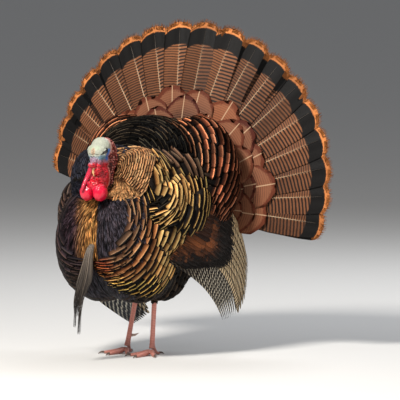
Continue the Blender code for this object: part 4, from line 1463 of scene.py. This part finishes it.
def flight_pieces(side_name, side):
    """Primaries and secondaries of one wing, with their shafts."""
    steps = np.concatenate([np.linspace(0, 0.70, 16), np.linspace(0.74, 1, 10)])
    stem = Vane(np.linspace(0, 1, 20), 4, ((0, 1.0), (1, 0.2)))
    patches = strip(FLIGHT_COUNT)
    for label, (low, high, spread, outline, look) in FLIGHT.items():
        vane = Vane(steps, 12, outline if side > 0 else RIGHT_OUTLINE, rounding=0.02, ragged=0.008)
        step = (high - low) / FLIGHT_COUNT
        orders = low + (np.arange(FLIGHT_COUNT) + 0.5) * step
        plume = Plumage(f"wing_{label}_vanes_{side_name}", 41 + side)
        wing_feathers(plume, vane, side, orders, FLIGHT_START, 1.0, step * spread, -0.0006, 0.0013, patches)
        finish = flight_material(f"barred {label} {side_name}", *look)
        plume.piece(finish, [f"wing_{label}_{side_name}"])
        shafts = Plumage(f"wing_{label}_shafts_{side_name}", 43 + side)
        wing_feathers(shafts, stem, side, orders, FLIGHT_START, 0.955, step * 0.018, 0.0006, 0.0, patches)
        shafts.piece(quill_material(side_name + label))


def quill_material(name):
    """Dark brown shafts of the flight feathers, paler to the root."""
    s = Shader("flight shaft " + name)
    _, along = s.vane()
    colour = s.mix(along, (0.30, 0.20, 0.12), (0.05, 0.03, 0.02))
    return s.finish(colour, 0.36 + s.noise(200.0, 2.0) * 0.1)


def flight_material(name, period, dark_share, strength, low_pale, high_pale):
    """Flight feathers barred black and cream."""
    s = Shader(name)
    across, along = s.vane()
    tone, reach = s.number("tone"), s.number("shade")
    grain, wave = s.noise(420.0) - 0.5, s.noise(70.0, 2.0) - 0.5
    off = (across - 0.5).size()
    turn = (reach + wave * 0.005 + across * 0.012 + tone * period * 0.35) * (2 * math.pi / period)
    level_of_dark = math.cos(math.pi * dark_share)
    bars = s.step(level_of_dark - 0.22, level_of_dark + 0.22, turn.sine() + grain * 0.5)
    cream = s.mix(s.noise(50.0), low_pale, high_pale)
    cream = s.mix(s.step(0.40, 0.47, off), cream, (0.012, 0.008, 0.006))
    brown = s.mix(tone, (0.0035, 0.0025, 0.0022), (0.012, 0.007, 0.005))
    colour = s.mix(bars * strength, cream, brown)
    colour = s.mix(s.step(0.45, 0.12, along) * 0.9, colour, (0.014, 0.008, 0.006))
    colour = s.mix(s.step(0.86, 0.93, along) * dark_share, colour, (0.005, 0.004, 0.004))
    return barbed(s, (across, along), colour, 0.50, (170.0, 50.0), 0.18, (0.004, 0.003, 0.003),
                  (0.3, 0.0004), 0.2)


# How far the greater coverts reach, as marks of (order, share of the flight feathers' reach).
GREATER_REACH = ((0.05, 0.20), (0.1, 0.25), (0.2, 0.34), (0.35, 0.47), (0.5, 0.56), (0.8, 0.55), (1.0, 0.52))
# The rows of whole greater coverts: feathers, share of that reach and lift.
GREATER_ROWS = ((17, 1.0, 0.0042), (17, 0.80, 0.0060), (16, 0.60, 0.0074), (16, 0.42, 0.0084))
# The layers of loose strands over them, and the strands in each.
STRAND_LAYERS, STRANDS = 14, 76


def wing_coverts(side_name, side):
    """The greater coverts: shaggy feathers over the roots of the flight feathers."""
    plume = Plumage("greater_coverts_" + side_name, 51 + side)
    chance = plume.random
    vane = Vane(np.concatenate([np.linspace(0, 0.84, 8), np.linspace(0.90, 1, 4)]), 6,
                ((0, 0.5), (0.5, 0.9), (0.82, 1.0), (0.95, 0.84), (1, 0.5)), rounding=0.06, ragged=0.03)
    strand = Vane((0, 0.35, 0.7, 1), 2, ((0, 0.8), (0.4, 1.0), (0.75, 0.7), (1, 0.1)), ragged=0.05)
    reaches = eased(*GREATER_REACH)
    for row, (count, reach, lift) in enumerate(GREATER_ROWS):
        orders = 0.04 + 0.94 * (np.arange(count) + 0.5 + 0.5 * (row % 2)) / (count + 0.5)
        ends = reach * reaches(orders) * (1 + chance.normal(0, 0.03, count))
        patches = strip(count, row, len(GREATER_ROWS) * 2)
        wing_feathers(plume, vane, side, orders, 0.05, ends, 0.048, lift, 0.0012, patches)
    layers, count = STRAND_LAYERS, STRANDS
    for layer in range(layers):
        orders = 0.03 + 0.95 * (np.arange(count) + chance.random(count)) / count
        most = reaches(orders)
        ends = most * (0.14 + 0.88 * (layers - layer) / layers + chance.normal(0, 0.03, count))
        lifts = 0.0088 - 0.0034 * ends / most + chance.normal(0, 0.0006, count)
        patches = strip(count, layers + layer, layers * 2)
        starts = np.maximum(ends - 0.17, 0.03)
        wing_feathers(plume, strand, side, orders, starts, ends, 0.0062, lifts, 0.0002, patches)
    return plume.piece(greater_material("greater covert " + side_name))


def greater_material(name):
    """Greater coverts: chestnut in front, black towards the flight feathers and the elbow, and dark under
    the shoulder as painted shadow.
    """
    s = Shader(name)
    across, along = s.vane()
    tone = s.number("tone")
    depth, height = s.axis(1), s.axis(2)
    grain = s.noise(120.0) - 0.5
    warm = s.mix(tone ** 1.3, (0.014, 0.005, 0.003), (0.42, 0.125, 0.036))
    dusk = s.step(0.270, 0.232, height + grain * 0.08).at_least(s.step(0.005, 0.075, depth + grain * 0.08))
    # Dark at the top, under the shoulder's edge: painted shadow.
    dusk = dusk.at_least(s.step(0.325, 0.375, height + grain * 0.08))
    colour = s.mix(dusk, warm, s.mix(tone, (0.0025, 0.002, 0.002), (0.020, 0.012, 0.009)))
    colour = s.mix(s.step(0.6, 0.0, along) * 0.6, colour, (0.010, 0.006, 0.005))
    return barbed(s, (across, along), colour, 0.52, (90.0, 30.0), 0.25, (0.004, 0.003, 0.002),
                  (0.3, 0.0005), 0.15)


# ---------------------------------------------------------------- body coat


# The halves of a piece's bake map, for a piece that is gathered from two covers.
LOWER_HALF, UPPER_HALF = (0.0, 0.0, 1.0, 0.5), (0.0, 0.5, 1.0, 0.5)


def crop_shade(points, u, v):
    """Plum to gold on the far lobe, darkened in the furrow as painted shade, and blue-black on the near
    lobe.
    """
    furrow = np.interp(points[:, 2], (0.23, 0.25, 0.31, 0.374), (0.020, 0.018, 0.016, -0.004))
    off = points[:, 0] - furrow
    far = 1 + 0.9 * soft(-0.070, -0.018, off)
    low = soft(0.196, 0.216, points[:, 2])
    return np.where(off < 0, far, 0.35) * soft(0.0015, 0.0050, np.abs(off)) * low


def breast_shade(points, u, v):
    """Bronze near the throat, then copper, then thin gold bars, with broad gold on the upper flank."""
    x, y, z = points.T
    seen = x * 0.866 + y * 0.5
    low = soft(0.200, 0.165, z) * soft(0.062, 0.025, seen)
    flank = (seen > 0.048 + 0.010 * np.sin(z * 300)) & (z > 0.175) & (z < 0.300) & (v > 0.45)
    rows = np.interp(v, (0, 0.12, 0.30, 0.50, 0.64, 1), (2, 1.8, 1.1, 0.8, 0.1, 0))
    return np.where(flank, 3.0, rows * (1 - low))


def far_breast_shade(points, u, v):
    """Dusk near the throat to bronze, on the far side in painted shade."""
    return np.interp(v, (0, 0.5, 0.8), (1.0, 0.8, 0.2))


def shoulder_shade(points, u, v):
    """Broad gold, then gold dashes and dusky tan down the side, and near black behind the neck, a painted
    shade where the shoulder meets the ruff.
    """
    dusk = soft(0.425, 0.455, points[:, 2]) * soft(0.66, 0.80, v)
    return np.where((u > 0.72) & (v < 0.42), 3.0, np.interp(v, (0.50, 0.66), (0, 1)) + dusk)


def far_shoulder_shade(points, u, v):
    """Gold dashes behind, and bronze to dusk in front as painted shade on the far side."""
    return soft(0.0, -0.06, points[:, 1]) * 1.5


def shoulder_lift(u, v):
    """The shoulder feathers ride up over the top of the wing."""
    rise = 0.015 * soft(0.56, 0.74, v) * soft(0.36, 0.50, u) * soft(0.80, 0.68, u)
    return rise - 0.001


def mantle_shade(points, u, v):
    """Near black, then thin and broad copper bars down the back, and fine tan bars by the neck."""
    row = v - 0.08 * soft(0.45, 0.75, u)
    copper = (soft(0.46, 0.50, row) + soft(0.54, 0.62, row)) * soft(0.14, 0.22, u)
    return np.maximum(copper, 3 * soft(0.16, 0.08, v))


def mantle_lift(u, v):
    """The back feathers ride up over the wing's upper edge."""
    rise = 0.017 * soft(0.50, 0.70, v) * soft(1.0, 0.85, v) * soft(0.10, 0.34, u)
    return rise - 0.0015


def under_lift(u, v):
    """The feathers under the tail are raised where they meet it."""
    return -0.002 + 0.015 * soft(0.80, 0.95, v) * soft(0.95, 0.60, u)


def coat_finishes():
    """The finishes of the body's feathers."""
    focus, reach = (0.020, -0.2195, 0.2305), 0.052
    return {
        "breast_left": plume_material("breast plume", (GOLD_BAND, COPPER_BAND, BRONZE_BAND, BROAD_GOLD),
                                      (focus, reach, (1.0, 0.50, 0.42))),
        # The far side's breast and shoulder finishes are darker copies of the near side's: painted shade.
        "breast_right": plume_material("far breast plume in painted shade", (BRONZE_BAND, SHADED_DUSK_BAND), base=0.08),
        "side_left": plume_material("shoulder plume", (BROAD_GOLD, DASH_GOLD, TAN_DUSK, BLACK_STREAK)),
        "side_right": plume_material("far shoulder plume", (DASH_GOLD, BRONZE_BAND, SHADED_DUSK_BAND)),
        "ruff": plume_material("ruff plume", (TAN_FINE, BLUE_FINE, HAIR_TAN)),
        "mantle": plume_material("mantle plume", (BLACK_STREAK, THIN_COPPER, BROAD_COPPER, TAN_FINE),
                                 base=-0.1, tone_and_glint=1.3, gloss=0.02),
        "crop": plume_material("crop plume", (HAIR_DARK, HAIR_PLUM, HAIR_GOLD), base=0.0, tone_and_glint=1.1),
        "belly": plume_material("belly plume", (BELLY_DARK, BRONZE_BAND)),
    }


def hangs(points, u, v):
    """Which hairs of the ruff stay: those that hang over the throat's side and the shoulder."""
    return (points[:, 2] < 0.418 - 0.9 * np.maximum(points[:, 0] - 0.07, 0)) & (v > 0.35)


def clear_of_wing(points, u, v):
    """Which feathers of the mantle stay: those that don't lie under the wing."""
    return ~((np.abs(points[:, 0]) > 0.168) & (points[:, 1] < 0.056) & (points[:, 2] < 0.350))


def behind(points, mantle):
    """Which feathers under the tail stay: those that don't lie under the mantle's low and front ones."""
    low_or_front = (points[:, 2] < 0.42) | (points[:, 1] < 0.187)
    return (points[:, 1] > 0.15) & ~(mantle.covers(placed(points)) & low_or_front)


def coat_piece(name, seed, material, *covers):
    """One piece of the coat from its covers, each as (tract, feather, rows, gap, further settings)."""
    plume = Plumage(name, seed)
    for tract, vane, rows, gap, settings in covers:
        plume.cover(tract, vane, rows, gap, **settings)
    plume.piece(material)


def body_coat(tree):
    """Every tract of the body's feathers, on both sides."""
    finishes = coat_finishes()
    broad = ((0, 0.4), (0.5, 0.92), (0.8, 1.0), (0.95, 0.96), (1, 0.86))
    big = Vane((0, 0.3, 0.52, 0.66, 0.78, 0.87, 0.94, 1), 6, broad, 0.035, 0.03, 0.02)
    small = Vane((0, 0.4, 0.65, 0.82, 0.93, 1), 4, broad, 0.06, 0.04, 0.05)
    hair = Vane((0, 0.4, 0.75, 1), 2, ((0, 0.6), (0.5, 1.0), (0.8, 0.7), (1, 0.12)), 0.0, 0.05, 0.12)
    shoulder_gap = eased((0.25, 0.027), (0.45, 0.045))
    for name, side in SIDES:
        near = name == "left"
        tracts = body_tracts(tree, side)
        ruff, flank, breast, crop, mantle, under, belly = (tracts[key] for key in TRACTS)
        # The far ruff takes the dark blue bars and hairs where the near one is tan: the far side's darkness
        # is painted shade.
        coat_piece("ruff_" + name, 61 + side, finishes["ruff"],
                   (ruff, small, 17, 0.0150,
                    dict(depth=0.004, widen=1.5, patch_box=LOWER_HALF, shade=0.0 if near else 1.0)),
                   (ruff, hair, 14, 0.0026,
                    dict(depth=0.002, widen=1.6, overlap=4.0, lift=0.0006, loose=0.6, keep=hangs,
                         patch_box=UPPER_HALF, shade=2.0 if near else 1.0)))
        coat_piece("shoulder_" + name, 63 + side, finishes["side_" + name],
                   (flank, big, 12, shoulder_gap,
                    dict(depth=0.006, widen=1.4, lift=shoulder_lift, loose=0.02, above=(ruff,),
                         keep=None if near else lambda p, u, v: v < 0.90,
                         shade=shoulder_shade if near else far_shoulder_shade)))
        coat_piece("breast_" + name, 65 + side, finishes["breast_" + name],
                   (breast, big, 12, 0.034,
                    dict(depth=0.006, widen=1.4, lift=-0.0015, above=(ruff, flank),
                         keep=None if near else lambda p, u, v: v < 0.93,
                         shade=breast_shade if near else far_breast_shade)))
        coat_piece("crop_" + name, 67 + side, finishes["crop"],
                   (crop, hair, 24, 0.0026,
                    dict(depth=0.003, widen=1.4, overlap=5.0, lift=-0.003, loose=0.7,
                         above=(ruff, flank, breast), shade=crop_shade)))
        coat_piece("mantle_" + name, 69 + side, finishes["mantle"],
                   (mantle, big, 30, 0.026,
                    dict(depth=0.006, widen=1.4, lift=mantle_lift, above=(ruff, flank), keep=clear_of_wing,
                         shade=mantle_shade)))
        coat_piece("belly_" + name, 71 + side, finishes["belly"],
                   (belly, small, 24, 0.022,
                    dict(depth=0.008, widen=1.5, lift=-0.003, patch_box=LOWER_HALF,
                         above=(ruff, flank, breast, mantle))),
                   (under, small, 22, 0.022,
                    dict(depth=0.008, widen=1.5, lift=under_lift, patch_box=UPPER_HALF,
                         keep=lambda p, u, v: behind(p, mantle),
                         shade=lambda p, u, v: soft(0.62, 0.80, v))))
        thigh_cuff(name, side, finishes["belly"])


# ---------------------------------------------------------------- what a user may change


class CoatSettings(bpy.types.PropertyGroup):
    """Sizes of the skin and the coat."""

    coat_depth: FloatProperty(name="Coat depth", description="How far the skin lies inside the feather tips",
                              default=0.011, unit="LENGTH")
    bristles: IntProperty(name="Beard bristles", description="Number of bristles in the beard", default=420)
    seed: IntProperty(name="Seed", description="Start of the random draws", default=7)


class StageSettings(bpy.types.PropertyGroup):
    """The floor, the lights and the camera."""

    azimuth: FloatProperty(name="Azimuth", description="Turn of the camera round the bird",
                           default=math.radians(30.0), subtype="ANGLE")
    elevation: FloatProperty(name="Elevation", description="Height of the camera as an angle",
                             default=math.radians(4.0), subtype="ANGLE")
    distance: FloatProperty(name="Distance", description="From the camera to the bird",
                            default=16.0, unit="LENGTH")
    view_width: FloatProperty(name="View width", description="Width of the view at the bird",
                              default=0.96, unit="LENGTH")
    floor_colour: FloatVectorProperty(name="Floor colour", description="Colour of the floor", size=3,
                                      default=(0.62, 0.61, 0.595), min=0.0, max=1.0, subtype="COLOR")


# ---------------------------------------------------------------- operators

# The middle of the view, to the camera's right of and above the ground between the feet.
AIM_RIGHT, AIM_UP = 0.1476, 0.3696
SENSOR, FLOOR_HALF = 36.0, 30.0
# Each lamp: its place, as shares of the way back to the camera and to the right and as a height over the
# point that it lights, then its size, its power and its colour.
LIT_POINT = Vector((0, 0, 0.38))
LAMPS = {"key": (2.5, -1.5, 2.4, 0.8, 262.0, (1.0, 0.965, 0.91)),
         "fill": (2.4, 2.6, 1.0, 2.4, 22.0, (0.93, 0.96, 1.0)),
         "rim": (-2.2, 1.2, 2.4, 1.8, 60.0, (0.93, 0.96, 1.0))}
SKY, SKY_STRENGTH = (0.92, 0.95, 1.0, 1.0), 0.22


def framed(place, turn):
    """A matrix with a place and a turn."""
    return Matrix.Translation(place) @ turn.to_4x4()


class TURKEY_OT_skin(bpy.types.Operator):
    """Make the one skin of head, body and legs"""

    bl_idname = "turkey.skin"
    bl_label = "Skin"

    def execute(self, context):
        depth = context.scene.turkey_coat.coat_depth
        face, legs = face_skin(), leg_skin()
        body = remeshed("body", copy_of(FLESH), HULL_VOXEL, BODY_ROUNDS, shrink=depth)
        body.data.materials.append(body_skin_material())
        with context.temp_override(active_object=face, object=face, selected_objects=[face, body, legs],
                                   selected_editable_objects=[face, body, legs]):
            bpy.ops.object.join()
        face.name = face.data.name = "skin"
        settled(face, FACE + FLESH + LEGS)
        return {"FINISHED"}


class TURKEY_OT_bare_parts(bpy.types.Operator):
    """Make the eyes, the bill, the spurs and the claws"""

    bl_idname = "turkey.bare_parts"
    bl_label = "Eyes, bill, claws and spurs"

    def execute(self, context):
        for name, side in SIDES:
            eyeball(name, side)
        bill = bill_material()
        horn_piece("bill_top", ["bill_upper"], BILL_VOXEL, bill, bill_shape)
        horn_piece("bill_bottom", ["bill_lower"], BILL_VOXEL, bill)
        dark = horn_material("claw horn", 420.0, CLAW_TINTS, 0.30, 0.15, 0.25)
        pale = horn_material("spur horn", 320.0, SPUR_TINTS, 0.35, 0.12, 0.2)
        for name, _ in SIDES:
            claws = [f"claw_{toe}_{name}" for toe in ("inner", "middle", "outer", "hind")]
            horn_piece("claws_" + name, claws, CLAW_VOXEL, dark)
            horn_piece("spur_horn_" + name, ["spur_" + name], CLAW_VOXEL, pale)
        return {"FINISHED"}


class TURKEY_OT_beard(bpy.types.Operator):
    """Make the beard of bristles"""

    bl_idname = "turkey.beard"
    bl_label = "Beard"

    def execute(self, context):
        coat = context.scene.turkey_coat
        beard_bristles(coat.bristles, coat.seed)
        return {"FINISHED"}


class TURKEY_OT_tail(bpy.types.Operator):
    """Make the tail feathers and their coverts"""

    bl_idname = "turkey.tail"
    bl_label = "Tail"

    def execute(self, context):
        tail_pieces()
        tail_coverts()
        return {"FINISHED"}


class TURKEY_OT_wings(bpy.types.Operator):
    """Make the flight feathers and the greater coverts of both wings"""

    bl_idname = "turkey.wings"
    bl_label = "Wings"

    def execute(self, context):
        for name, side in SIDES:
            flight_pieces(name, side)
            wing_coverts(name, side)
        return {"FINISHED"}


class TURKEY_OT_coat(bpy.types.Operator):
    """Make the coat of the breast, ruff, shoulders, mantle, rump and belly"""

    bl_idname = "turkey.coat"
    bl_label = "Body coat"

    def execute(self, context):
        hull, tree = body_hull()
        body_coat(tree)
        bpy.data.objects.remove(hull)
        return {"FINISHED"}


class TURKEY_OT_stage(bpy.types.Operator):
    """Set the floor, the lights and the camera"""

    bl_idname = "turkey.stage"
    bl_label = "Stage"

    def execute(self, context):
        stage = context.scene.turkey_stage
        turn, rise = stage.azimuth, stage.elevation
        right = Vector((math.cos(turn), math.sin(turn), 0))
        up = Vector((-math.sin(turn) * math.sin(rise), math.cos(turn) * math.sin(rise), math.cos(rise)))
        back = right.cross(up)
        target = ORIGIN + right * AIM_RIGHT + up * AIM_UP
        lens = bpy.data.cameras.new("camera")
        lens.sensor_width, lens.lens = SENSOR, SENSOR * stage.distance / stage.view_width
        lens.clip_end = 100.0
        camera = new_object("camera", lens)
        camera.matrix_world = framed(target + back * stage.distance, Matrix((right, up, back)).transposed())
        context.scene.camera = camera

        form = bmesh.new()
        bmesh.ops.create_grid(form, x_segments=1, y_segments=1, size=FLOOR_HALF)
        floor = new_object("floor", mesh_of("floor", form))
        floor.data.materials.append(Shader("pale floor").finish(tuple(stage.floor_colour), 0.85))

        for name, (behind, aside, height, size, power, colour) in LAMPS.items():
            place = back * behind + right * aside + Vector((0, 0, height))
            lamp = bpy.data.lights.new(name, "AREA")
            lamp.energy, lamp.size, lamp.color = power, size, colour
            turn = place.to_track_quat("Z", "Y").to_matrix()
            new_object(name, lamp).matrix_world = framed(LIT_POINT + place, turn)
        world = bpy.data.worlds.new("soft studio")
        world.use_nodes = True
        sky = world.node_tree.nodes["Background"]
        sky.inputs[0].default_value, sky.inputs[1].default_value = SKY, SKY_STRENGTH
        context.scene.world = world
        context.scene.view_settings.view_transform = "Standard"
        return {"FINISHED"}


class TURKEY_PT_panel(bpy.types.Panel):
    """The bird's settings and makers"""

    bl_idname = "TURKEY_PT_panel"
    bl_label = "Displaying turkey"
    bl_space_type = "VIEW_3D"
    bl_region_type = "UI"
    bl_category = "Turkey"

    def draw(self, context):
        for group in (context.scene.turkey_coat, context.scene.turkey_stage):
            for name in group.__annotations__:
                self.layout.prop(group, name)
        for operator in OPERATORS:
            self.layout.operator(operator.bl_idname)


OPERATORS = (TURKEY_OT_stage, TURKEY_OT_skin, TURKEY_OT_bare_parts, TURKEY_OT_beard, TURKEY_OT_tail,
             TURKEY_OT_wings, TURKEY_OT_coat)
CLASSES = (CoatSettings, StageSettings, *OPERATORS, TURKEY_PT_panel)


def register():
    """Adds the settings, the operators and the panel."""
    for each in CLASSES:
        bpy.utils.register_class(each)
    bpy.types.Scene.turkey_coat = PointerProperty(type=CoatSettings)
    bpy.types.Scene.turkey_stage = PointerProperty(type=StageSettings)


def unregister():
    """Takes them away again."""
    del bpy.types.Scene.turkey_coat, bpy.types.Scene.turkey_stage
    for each in reversed(CLASSES):
        bpy.utils.unregister_class(each)


def main():
    """Builds the whole bird and its stage."""
    register()
    bpy.ops.turkey.stage()
    bpy.ops.turkey.skin()
    bpy.ops.turkey.bare_parts()
    bpy.ops.turkey.beard()
    bpy.ops.turkey.tail()
    bpy.ops.turkey.wings()
    bpy.ops.turkey.coat()


if __name__ == "__main__":
    main()
